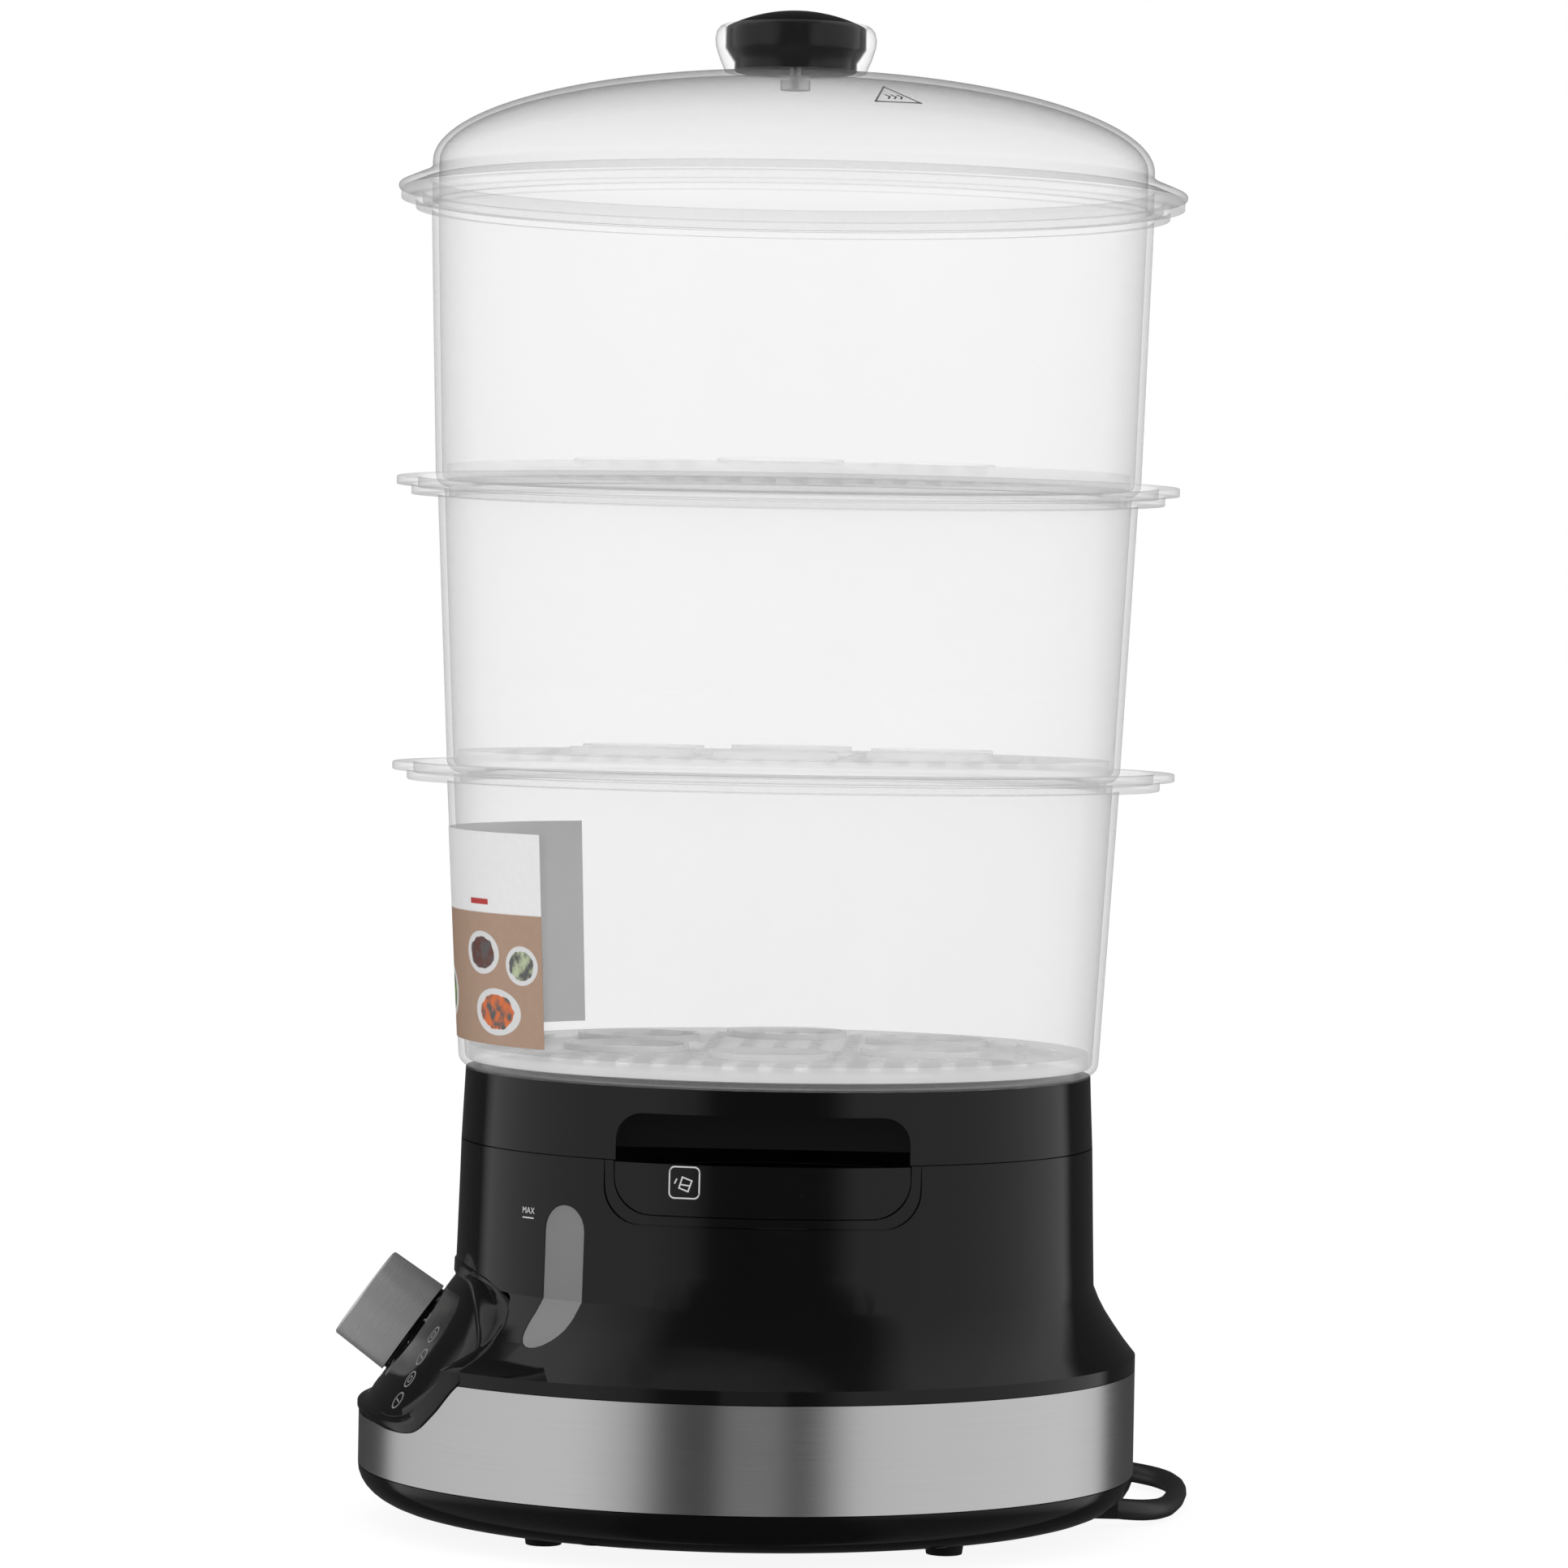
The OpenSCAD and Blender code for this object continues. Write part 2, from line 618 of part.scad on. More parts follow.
block = [-38, 48];
module terminal_block() color("#e4e0d6") translate([block[0], block[1], cover_z + cover_t + 0.1])
    difference() {
        cube([26, 14, 12]);
        for (i = [0:2]) translate([5 + 8 * i, -1, 7]) rotate([-90, 0, 0]) cylinder(r = 1.8, h = 16);
        for (i = [0:2]) translate([5 + 8 * i, 7, 7]) cylinder(r = 1.5, h = 8);
    }

// A bare run of insulated wire through points, rounded at its corners.
module wire(p, r = 1.4) {
    for (i = [0:len(p) - 2]) {
        v = p[i + 1] - p[i];
        translate(p[i]) rotate([0, acos(v[2] / norm(v)), atan2(v[1], v[0])])
            cylinder(r = r, h = norm(v), $fn = 24);
    }
    for (i = [1:1:len(p) - 2]) translate(p[i]) sphere(r = r + 0.2, $fn = 24);
}

module wiring() color("#b8442e") {
    zb = cover_z + cover_t + 7.1;
    for (i = [0:1]) {
        x = block[0] + 5 + 8 * i;
        wire([[-2 + 4 * i, gland_y - 6, gland_z], [-3 + 3 * i, gland_y - 8, 18],
            [x, block[1] + 22, 18], [x, block[1] + 17, zb], [x, block[1] + 14.2, zb]]);
    }
    // to the timer's tabs and to the element's two ends
    wire([[block[0] + 5, block[1] - 0.2, zb], [block[0] + 5, block[1] - 20, zb + 2],
        [-24, -30, 20], [-22, knob_y + 33, 18], [-10, knob_y + 12.4, 22.4]]);
    wire([[block[0] + 13, block[1] - 0.2, zb], [block[0] + 13, block[1] - 3, zb],
        [block[0] + 13, 40, 30],
        [-16, stack_off + 27.7, 34], [-16, stack_off + 27.7, plate_low - element_r - 14.2]]);
}

// The lip fills the cut in the wall; a thinner rim behind holds it from inside.
module fill_lip() {
    rim_top = tank_top - 6;
    slope = (seam_r - neck_r) / (seam_z - neck_z);
    out_low = neck_r + slope * (lip_z - 8 - neck_z);
    out_rim = neck_r + slope * (rim_top - neck_z);
    intersection() {
        lip_prism(-gap, seam_z - 0.4);
        rotate_extrude() polygon([[out_low, lip_z - 8], [seam_r, seam_z], [seam_r - 2.4, seam_z],
            [out_rim - 2.4, rim_top], [out_rim - 4, rim_top], [out_low - 4, lip_z - 8]]);
    }
    intersection() {
        lip_prism(3, seam_z);
        rotate_extrude() polygon([[out_low - 2.8, lip_z - 8], [out_rim - 2.8, rim_top - 0.5],
            [out_rim - 3.8, rim_top - 0.5], [out_low - 3.8, lip_z - 8]]);
    }
}
module fill_lip_right() color("#161616") stack() fill_lip();
module fill_lip_left() color("#161616") stack() rotate([0, 0, 180]) fill_lip();

module level_window() color("#9a9a9a") intersection() {
    stack() window_prism(-0.1);
    difference() {
        housing_form(-0.2);
        loft(flare(-2.2, 0.6));
        stack() translate([0, 0, neck_z - 2])
            cylinder(r1 = neck_r - 2.2, r2 = seam_r - 2.2, h = seam_z - neck_z + 3);
        cylinder(r = base_r, h = rim_z);
    }
}

module steam_ring() color("#2b2b2b") stack() difference() {
    translate([0, 0, heater_z + gap]) rotate_extrude() polygon([
        [steam_ring_r, 0], [steam_ring_r - 4, steam_ring_h], [steam_ring_r - 6, steam_ring_h],
        [steam_ring_r - 2, 0]]);
    for (a = [0:60:300]) rotate([0, 0, a]) translate([steam_ring_r - 6, -6, heater_z - 1]) cube([10, 12, 8]);
}

// ---- drip tray ----
tray_floor = seam_z + 3.4;
module mouth(grow) {
    w = mouth_w + grow;
    rotate([90, 0, 90]) translate([0, 0, seam_r - mouth_depth - grow])
        linear_extrude(height = mouth_depth + 10)
            polygon(concat([[-w, tray_bottom - 1], [w, tray_bottom - 1]],
                arc([w - 8, mouth_top + grow - 8], 8, 0, 90, 6),
                arc([-w + 8, mouth_top + grow - 8], 8, 90, 180, 6)));
}

module drip_tray() color("#151515") stack() difference() {
    union() {
        rotate_extrude() polygon([[chimney_r - clear_t, tray_floor], [chimney_r - clear_t, tray_floor + 10],
            [chimney_r, tray_floor + 10], [chimney_r + 1, tray_floor + clear_t],
            [tray_r - wall - 6, tray_floor + clear_t], [tray_in + 0.2, tray_floor + clear_t + 3],
            [tray_in, tray_top], [tray_r, tray_top], [seam_r, seam_z + 0.15],
            [seam_r - wall - gap, seam_z + 0.15], [seam_r - wall - gap, tray_bottom],
            [seam_r - 2 * wall, tray_bottom], [seam_r - 2 * wall, tray_floor]]);
        intersection() {
            for (s = [0, 180]) rotate([0, 0, s]) mouth(clear_t);
            translate([0, 0, tray_floor]) cylinder(r = tray_r - 0.5, h = tray_top);
        }
    }
    for (s = [0, 180]) rotate([0, 0, s]) mouth(0);
}

// ---- bowls ----
module bowl(i) {
    z0 = bowl_z[i];
    low = bowl_low_r[i];
    high = bowl_high_r[i];
    top = shelf_top[i] + shelf_drop;
    corner = [low - bowl_corner, z0 + bowl_corner];
    stack() rotate_extrude() polygon(concat(
        [[low - ledge_w, z0], [foot_ring_r[i] - clear_t, z0], [foot_ring_r[i] - clear_t, z0 - 3],
            [foot_ring_r[i], z0 - 3], [foot_ring_r[i], z0]],
        arc(corner, bowl_corner, -90, 0, 6),
        [[high, shelf_top[i] - clear_t], [shelf_r, shelf_top[i] - clear_t],
            [shelf_r, top - flange_t], [flange_r - 0.6, top - flange_t],
            [flange_r, top - flange_t + 0.6], [flange_r, top], [shelf_r - clear_t, top],
            [shelf_r - clear_t, shelf_top[i]], [high - clear_t, shelf_top[i]]],
        arc(corner, bowl_corner - clear_t, 0, -90, 6),
        [[low - ledge_w, z0 + clear_t]]));
}

// Steam holes stand in columns, left out where a wall of an egg ring runs.
function egg_gap(p) = min([for (k = [0:egg_count - 1])
    abs(norm(p - egg_ring * [cos(360 * k / egg_count), sin(360 * k / egg_count)]) - egg_r + 0.8)]);
function hole_places(r) = let (n = ceil(r / hole_pitch))
    [for (i = [-n:n]) for (j = [-n:n]) let (p = hole_pitch * [i, j])
        if (norm(p) < r - 7 && egg_gap(p) > hole_r + 1.4) p];

module bowl_floor(i) {
    r = bowl_low_r[i] - clear_t - 1.4;
    stack() translate([0, 0, bowl_z[i] + clear_t + gap]) difference() {
        union() {
            translate([0, 0, 2.5]) cylinder(r = r, h = clear_t);
            ring(r, r - 1.8, 0, 3);
            for (k = [0:egg_count - 1]) rotate([0, 0, 360 * k / egg_count])
                translate([egg_ring, 0, 0]) ring(egg_r, egg_r - 1.6, 2.6, 2.5 + clear_t + 2);
        }
        for (p = hole_places(r)) translate([p[0], p[1], 2]) cylinder(r = hole_r, h = 4, $fn = 16);
    }
}

module lower_bowl() color([0.93, 0.94, 0.94, 0.4]) bowl(0);
module middle_bowl() color([0.93, 0.94, 0.94, 0.4]) bowl(1);
module upper_bowl() color([0.93, 0.94, 0.94, 0.4]) bowl(2);
module lower_floor() color([0.9, 0.91, 0.91, 0.6]) bowl_floor(0);
module middle_floor() color([0.9, 0.91, 0.91, 0.6]) bowl_floor(1);
module upper_floor() color([0.9, 0.91, 0.91, 0.6]) bowl_floor(2);

// ---- lid ----
module lid() color([0.95, 0.96, 0.96, 0.4]) stack() difference() {
    top = shelf_top[2] + shelf_drop;
    rotate_extrude() polygon(concat(
        oval([0, dome_z], lid_r, dome_h, 90, 0, 24),
        [[lid_r, top + 7], [lid_r + 2, top + 5.6], [lid_flange_r - 0.6, top + 2.4],
            [lid_flange_r, top + 1.6], [lid_flange_r - 0.4, top + gap],
            [lid_r + 2.6, top + 3.4], [lid_r, top + 3.6], [lid_r, lid_z], [lid_r - clear_t, lid_z]],
        oval([0, dome_z], lid_r - clear_t, dome_h - clear_t, 0, 90, 24)));
    translate([0, 0, lid_top - 6]) cylinder(r = 2.2, h = 10);
    // two steam vents beside the knob
    for (s = [-1, 1]) translate([0, s * 36, lid_top - 8]) cylinder(r = 1.6, h = 12);
}

grip_z = lid_top + 0.2;
crown = grip_h - 5.3;
module lid_knob_core() color("#1b1b1b") stack() translate([0, 0, grip_z]) difference() {
    rise = grip_h - crown - 0.2;
    dome = (core_r * core_r + rise * rise) / (2 * rise);
    edge = asin(core_r / dome);
    rotate_extrude() polygon(concat([[0, 0], [core_r - 2.8, 0], [core_r - 2.8, 3.2],
        [core_r, 7.4]], arc([0, grip_h - 0.2 - dome], dome, 90 - edge, 90, 12)));
    translate([0, 0, -1]) cylinder(r = 2, h = 11);
}

module lid_knob_shell() color([0.95, 0.96, 0.97, 0.35]) stack() translate([0, 0, grip_z])
    rotate_extrude() polygon(concat([[core_r - 2.5, 0], [core_r + 0.2, 0], [grip_r - 1.4, 4.2]],
        [[grip_r - 0.2, 8], [grip_r, 10.4], [grip_r - 0.5, 12.6], [grip_r - 1.6, 13.9],
            [core_r + 0.9, 14.4], [core_r + 0.3, 14], [core_r + 0.3, 7.2], [core_r - 2.5, 3]]));

module lid_knob_screw() color("silver") stack() translate([0, 0, lid_top - clear_t - 3.1]) {
    cylinder(r = 4.6, h = 3);
    cylinder(r = 1.8, h = 12);
}

// ---- cord ----
relief_tip = gland_y + relief_len;
route = [[0, 98, 8], [0, 105, 7.4], [-2, 112, 6.4], [-7, 119, 5.2], [-15, 125, 4.2],
    [-26, 129.5, 3.6], [-39, 132, 3.5], [-53, 133.5, 3.5], [-67, 134, 3.5], [-80, 133, 3.6],
    [-92, 129.5, 3.8], [-102, 123, 4], [-110, 114, 4.2], [-116, 103, 4.4], [-120, 91, 4.5],
    [-122.4, 78, 4.6], [-123.4, 65, 4.6], [-123.5, 52, 4.6], [-123.5, 44, 4.6]];
coil_turns = 4.125;
coil_steps = 24;
coil_start = route[len(route) - 1];
coil_centre = [coil_start[0] - coil_r, coil_start[1] - 2 * cord_r];
function coil_at(u) = let (
        r = coil_r - coil_pitch * (u < 2 ? u : 4 - u),
        climb = max(0, min(1, (u - 1.75) / 0.5)), a = -360 * u)
    [coil_centre[0] + r * cos(a), coil_centre[1] + r * sin(a), coil_start[2] + climb * coil_pitch];
coil_line = [for (i = [0:coil_turns * coil_steps]) coil_at(i / coil_steps)];
coil_out = unit([-sin(360 * coil_turns), -cos(360 * coil_turns), 0]);
coil_end = coil_line[len(coil_line) - 1] + 2 * cord_r * coil_out;
coil_path = concat([coil_start], coil_line, [coil_end]);
tail = [coil_end, coil_end + [-6, -6.6, -0.4], coil_end + [-11, -14, -0.9],
    coil_end + [-14, -22.5, -1.2], coil_end + [-15, -32, -1.3], coil_end + [-15, -38, -1.3]];
tail_end = tail[len(tail) - 1];

module power_cord() color("#141414") tube(route, cord_r, 8);
module cord_coil() color("#141414") tube(coil_path, cord_r, 6);
module cord_tail() color("#141414") tube(tail, cord_r, 8);

least_gap = min([for (i = [0:len(coil_line) - 1]) for (j = [i + 16:1:len(coil_line) - 1])
    norm(coil_line[i] - coil_line[j])]) - 2 * cord_r;
echo(coil_least_gap = least_gap, cord_length = run(route) + run(coil_path) + run(tail),
    route_bend = bend(route), tail_bend = bend(tail));

module cord_gland() color("#111111") {
    translate([0, gland_y, gland_z]) rotate([-90, 0, 0]) {
        translate([0, 0, -cover_t - 1]) cylinder(r = 5, h = cover_t + 2);
        translate([0, 0, 0.2]) cylinder(r1 = 5.6, r2 = cord_r + 0.7, h = relief_len - 0.2);
    }
    // collar behind the wall, cut flat over the cover's floor
    difference() {
        translate([0, gland_y - cover_t - 0.2, gland_z]) rotate([90, 0, 0]) cylinder(r = 7, h = 2);
        translate([-base_r, 0, 0]) cube([2 * base_r, base_r, cover_z + cover_t + gap]);
    }
}

tie_w = 9;
module cord_tie() color("#1d1d1d") {
    in_r = coil_r - 2 * coil_pitch - cord_r - 0.8;
    out_r = coil_r + cord_r + 0.8;
    low = coil_start[2] - cord_r - 0.4;
    high = coil_start[2] + coil_pitch + cord_r + 0.4;
    translate([coil_centre[0], coil_centre[1], 0]) rotate([0, 0, 200])
        rotate([90, 0, 0]) linear_extrude(height = tie_w, center = true) difference() {
            polygon(rounded([[in_r - 0.7, low - 0.7], [out_r + 0.7, low - 0.7],
                [out_r + 0.7, high + 0.7], [in_r - 0.7, high + 0.7]], [3, 3, 3, 3]));
            polygon(rounded([[in_r, low], [out_r, low], [out_r, high], [in_r, high]],
                [2.3, 2.3, 2.3, 2.3]));
        }
}

plug_len = 34;
module at_plug() {
    translate(tail_end) rotate([90, 0, 0]) children();
}
module plug_body() color("#121212") at_plug() difference() {
    union() {
        cylinder(r1 = cord_r + 0.9, r2 = 7.5, h = 20);
        translate([0, 0, 18]) linear_extrude(height = plug_len) union() {
            for (s = [-1, 1]) translate([s * 8.5, 0]) circle(r = 9.4);
            square([17, 18.8], center = true);
        }
    }
    for (s = [-1, 1]) translate([s * pin_pitch / 2, 0, 18 + plug_len - 12])
        cylinder(r = pin_r + 0.05, h = 13);
}
module plug_pins() color("#c8c8c8") at_plug() for (s = [-1, 1])
    translate([s * pin_pitch / 2, 0, 18 + plug_len - 11.8]) {
        cylinder(r = pin_r, h = 29.8);
        translate([0, 0, 29.8]) cylinder(r1 = pin_r, r2 = pin_r - 1, h = 1);
    }

bottom_cover();
rubber_feet();
cover_screws();
base_housing();
steel_band();
control_panel();
timer_case();
timer_plate();
timer_bell();
timer_screws();
timer_shaft();
timer_knob();
water_tank();
tank_gasket();
heating_plate();
heating_element();
element_bracket();
thermostat();
thermal_fuse();
terminal_block();
wiring();
level_window();
fill_lip_right();
fill_lip_left();
steam_ring();
drip_tray();
lower_bowl();
middle_bowl();
upper_bowl();
lower_floor();
middle_floor();
upper_floor();
lid();
lid_knob_shell();
lid_knob_core();
lid_knob_screw();
cord_gland();
power_cord();
cord_coil();
cord_tail();
cord_tie();
plug_body();
plug_pins();
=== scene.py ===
import math

import bmesh
import bpy
from mathutils import Matrix, Vector
from mathutils.bvhtree import BVHTree


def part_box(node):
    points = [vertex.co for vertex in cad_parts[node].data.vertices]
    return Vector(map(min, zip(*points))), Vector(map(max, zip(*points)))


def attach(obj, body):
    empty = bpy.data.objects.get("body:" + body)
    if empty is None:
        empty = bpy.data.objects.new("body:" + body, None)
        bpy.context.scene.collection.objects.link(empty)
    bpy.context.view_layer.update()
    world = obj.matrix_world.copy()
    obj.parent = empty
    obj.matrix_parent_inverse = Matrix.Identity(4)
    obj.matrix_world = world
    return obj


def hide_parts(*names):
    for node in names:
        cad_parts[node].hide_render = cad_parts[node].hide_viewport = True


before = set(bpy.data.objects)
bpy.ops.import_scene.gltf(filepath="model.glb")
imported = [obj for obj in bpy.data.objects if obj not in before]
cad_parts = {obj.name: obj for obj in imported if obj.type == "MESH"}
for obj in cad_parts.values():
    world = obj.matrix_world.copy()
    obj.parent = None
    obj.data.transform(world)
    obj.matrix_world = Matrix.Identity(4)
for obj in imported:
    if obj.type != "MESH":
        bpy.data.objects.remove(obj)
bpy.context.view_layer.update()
scene = bpy.context.scene
mm = 0.001
print("frame loaded:", len(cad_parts), "nodes")

# the bowls, tray and lid stand on an upright axis a little behind the base's own
stackAxis = Vector((0, 8 * mm, 0))

view = {
    "place": (1.9603, 0.1007, 0.273),
    "target": (0, 0.00825, 0.2277),
    "roll": 1.0,  # degrees, the right side hangs lower
    "lens": 146.3,
    "sensor": 36,
    "clip": (0.05, 60),
}


def makeCamera():
    data = bpy.data.cameras.new("photoCamera")
    data.lens = view["lens"]
    data.sensor_width = view["sensor"]
    data.clip_start, data.clip_end = view["clip"]
    camera = bpy.data.objects.new("photoCamera", data)
    scene.collection.objects.link(camera)
    place = Vector(view["place"])
    look = (Vector(view["target"]) - place).to_track_quat("-Z", "Y").to_matrix()
    roll = Matrix.Rotation(math.radians(view["roll"]), 3, "Z")
    camera.matrix_world = Matrix.Translation(place) @ (look @ roll).to_4x4()
    scene.camera = camera


makeCamera()


class Socket:
    # a socket of a node tree; arithmetic on it adds Math nodes
    def __init__(self, tree, socket):
        self.tree = tree
        self.socket = socket

    def math(self, operation, *others, flip=False):
        node = self.tree.nodes.new("ShaderNodeMath")
        node.operation = operation
        terms = [self, *others]
        if flip:
            terms.reverse()
        for slot, term in zip(node.inputs, terms):
            if isinstance(term, Socket):
                self.tree.links.new(term.socket, slot)
            else:
                slot.default_value = term
        return Socket(self.tree, node.outputs[0])

    def __add__(self, other):
        return self.math("ADD", other)

    def __sub__(self, other):
        return self.math("SUBTRACT", other)

    def __mul__(self, other):
        return self.math("MULTIPLY", other)

    def __truediv__(self, other):
        return self.math("DIVIDE", other)

    def __pow__(self, other):
        return self.math("POWER", other)

    def __rsub__(self, other):
        return self.math("SUBTRACT", other, flip=True)

    def __rtruediv__(self, other):
        return self.math("DIVIDE", other, flip=True)

    __radd__ = __add__
    __rmul__ = __mul__

    def step(self, start, end):
        # 0 below start and 1 above end, smooth between them
        x = ((self - start) / (end - start)).math("MAXIMUM", 0.0).math("MINIMUM", 1.0)
        return x * x * (3 - 2 * x)


class Nodes:
    def __init__(self, tree):
        self.tree = tree
        tree.nodes.clear()

    def add(self, kind, settings=None, inputs=None, out=0):
        node = self.tree.nodes.new("ShaderNode" + kind)
        for name, value in (settings or {}).items():
            if name == "stops":
                ramp = node.color_ramp.elements
                while len(ramp) < len(value):
                    ramp.new(0.5)
                for element, (position, colour) in zip(ramp, value):
                    element.position = position
                    element.color = colour
            else:
                setattr(node, name, value)
        for name, value in (inputs or {}).items():
            slot = node.inputs[name]
            if isinstance(value, Socket):
                self.tree.links.new(value.socket, slot)
            else:
                slot.default_value = value
        return Socket(self.tree, node.outputs[out]) if len(node.outputs) else None

    def split(self, vector):
        node = self.add("SeparateXYZ", None, {"Vector": vector}).socket.node
        return [Socket(self.tree, node.outputs[i]) for i in range(3)]

    def join(self, x, y, z):
        return self.add("CombineXYZ", None, {"X": x, "Y": y, "Z": z})

    def mix(self, factor, a, b):
        return self.add("Mix", {"data_type": "RGBA"}, {0: factor, 6: a, 7: b}, out=2)

    def noise(self, vector, scale, detail=2.0, roughness=0.5):
        return self.add(
            "TexNoise", None,
            {"Vector": vector, "Scale": scale, "Detail": detail, "Roughness": roughness},
        )

    def stretched(self, vector, scale):
        return self.add("Mapping", None, {"Vector": vector, "Scale": scale})

    def rays(self, *names):
        # Light Path's answers: 1 for a ray of the kind that is named
        path = self.add("LightPath").socket.node
        return [Socket(self.tree, path.outputs["Is " + name + " Ray"]) for name in names]

    def place(self):
        return self.add("TexCoord", out=3)  # Object


def grey(level, tint=0.0):
    return (level, level, level * (1 + tint), 1)


finishes = {}


def finish(name):
    # a material with its node tree emptied, kept under the name its pieces ask for
    material = bpy.data.materials.new(name)
    material.use_nodes = True
    finishes[name] = material
    return Nodes(material.node_tree)


def surface(nodes, **inputs):
    wanted = {key.replace("_", " "): value for key, value in inputs.items()}
    shader = nodes.add("BsdfPrincipled", None, wanted)
    nodes.add("OutputMaterial", None, {"Surface": shader})
    return shader


def bumped(nodes, height, strength, distance):
    return nodes.add(
        "Bump", None, {"Height": height, "Strength": strength, "Distance": distance}
    )


# plastics, rubbers, prints and plain metals: a colour that drifts by a share of itself, a
# roughness that goes with it over a spread, and a fine grain that lifts the surface
plainFinishes = {
    "satinBlack": dict(
        colour=(0.009, 0.009, 0.01), drift=0.35, rough=0.42, spread=0.1, grain=900,
        lift=0.12, shine=0.4,
    ),
    "feetRubber": dict(
        colour=(0.012, 0.012, 0.012), drift=0.3, rough=0.72, spread=0.12, grain=700,
        lift=0.25, shine=0.3,
    ),
    "cordRubber": dict(
        colour=(0.012, 0.012, 0.013), drift=0.25, rough=0.36, spread=0.1, grain=500,
        lift=0.08, shine=0.4,
    ),
    "tankPlastic": dict(
        colour=(0.1, 0.1, 0.104), drift=0.15, rough=0.35, spread=0.1, grain=400,
        lift=0.06,
    ),
    "siliconeGrey": dict(
        colour=(0.42, 0.42, 0.41), drift=0.1, rough=0.6, spread=0.1, grain=500,
        lift=0.05, shine=0.4,
    ),
    "plainSteel": dict(
        colour=(0.56, 0.56, 0.57), drift=0.12, rough=0.3, spread=0.16, grain=260,
        lift=0.05, metal=1.0,
    ),
    "zincPlate": dict(
        colour=(0.46, 0.45, 0.4), drift=0.25, rough=0.42, spread=0.18, grain=200,
        lift=0.08, metal=1.0,
    ),
    "elementSheath": dict(
        colour=(0.17, 0.15, 0.14), drift=0.5, rough=0.5, spread=0.2, grain=240,
        lift=0.15, metal=1.0,
    ),
    "drawnBrass": dict(
        colour=(0.66, 0.5, 0.22), drift=0.15, rough=0.3, spread=0.14, grain=320,
        lift=0.05, metal=1.0,
    ),
    "pinNickel": dict(
        colour=(0.66, 0.64, 0.6), drift=0.1, rough=0.2, spread=0.12, grain=380,
        lift=0.04, metal=1.0,
    ),
    "ceramicBody": dict(
        colour=(0.74, 0.71, 0.64), drift=0.1, rough=0.5, spread=0.14, grain=420,
        lift=0.1,
    ),
    "wireRed": dict(
        colour=(0.4, 0.09, 0.06), drift=0.2, rough=0.4, spread=0.1, grain=500,
        lift=0.05,
    ),
    "paperBack": dict(
        colour=(0.92, 0.92, 0.92), drift=0.05, rough=0.6, spread=0.1, grain=420,
        lift=0.05, shine=0.3,
    ),
    "printDark": dict(
        colour=(0.05, 0.05, 0.05), drift=0.15, rough=0.4, spread=0.1, grain=900,
        lift=0.03, shine=0.4,
    ),
    "printGrey": dict(
        colour=(0.2, 0.2, 0.2), drift=0.15, rough=0.4, spread=0.1, grain=900,
        lift=0.03, shine=0.4,
    ),
    "printLight": dict(
        colour=(0.55, 0.55, 0.55), drift=0.15, rough=0.4, spread=0.1, grain=900,
        lift=0.03, shine=0.4,
    ),
}


plainLook = {"cloud": 45, "grainRough": 0.06, "grainDeep": 0.05 * mm}


def makePlainFinishes():
    for name, own in plainFinishes.items():
        want = {"metal": 0.0, "shine": 0.5, **own}
        nodes = finish(name)
        place = nodes.place()
        cloud = nodes.noise(place, plainLook["cloud"], 3)
        grain = nodes.noise(place, want["grain"], 2)
        r, g, b = want["colour"]
        low, high = 1 - want["drift"] / 2, 1 + want["drift"] / 2
        colour = nodes.mix(
            cloud, (r * low, g * low, b * low, 1), (r * high, g * high, b * high, 1)
        )
        rough = cloud * want["spread"] + grain * plainLook["grainRough"]
        rough = rough + (want["rough"] - want["spread"] / 2)
        surface(
            nodes,
            Base_Color=colour,
            Roughness=rough,
            Metallic=want["metal"],
            Specular_IOR_Level=want["shine"],
            Normal=bumped(nodes, grain, want["lift"], plainLook["grainDeep"]),
        )


glossBlack = {
    "colour": 0.0035,
    "dust": 0.008,  # the paler specks of dust that settle on it
    "dusty": 0.6,  # how much of the dust's tone a speck has
    "rough": 0.075,
    "shine": 0.26,
    # how fine each pattern is
    "cloud": 18, "speck": 1300, "wipe": 60, "wave": 160,
    "speckSize": (0.71, 0.76),
    "wipeStretch": (1, 1, 9),
    # what each pattern adds to the roughness, and what they add on average
    "cloudRough": 0.05, "wipeRough": 0.035, "speckRough": 0.12, "added": 0.03,
    "waveLift": 0.02, "waveDeep": 0.05 * mm,
}


def makeGlossBlack():
    nodes = finish("glossBlack")
    place = nodes.place()
    want = glossBlack
    cloud = nodes.noise(place, want["cloud"], 3)
    specks = nodes.noise(place, want["speck"], 1).step(*want["speckSize"])
    wipes = nodes.noise(nodes.stretched(place, want["wipeStretch"]), want["wipe"], 3)
    colour = nodes.mix(specks * want["dusty"], grey(want["colour"]), grey(want["dust"]))
    rough = cloud * want["cloudRough"] + wipes * want["wipeRough"]
    rough = rough + specks * want["speckRough"] + (want["rough"] - want["added"])
    wave = nodes.noise(place, want["wave"], 2)
    surface(
        nodes,
        Base_Color=colour,
        Roughness=rough,
        Specular_IOR_Level=want["shine"],
        Normal=bumped(nodes, wave, want["waveLift"], want["waveDeep"]),
    )


bandSteel = {
    "colour": 0.57, "contrast": (0.93, 1.08), "rough": 0.22,
    # how fine the brushing is: per radian round the base and per metre of height
    "fine": (7, 5200), "broad": (2.2, 900), "cloud": 24,
    # how much each pattern shows in the tone, and how strongly the tone shows
    "fineTone": 0.08, "broadTone": 0.05, "cloudTone": 0.03, "gain": 6,
    # what each pattern adds to the roughness, and what they add on average
    "fineRough": 0.12, "cloudRough": 0.06, "added": 0.08,
    "lift": 0.1, "deep": 0.02 * mm,
}


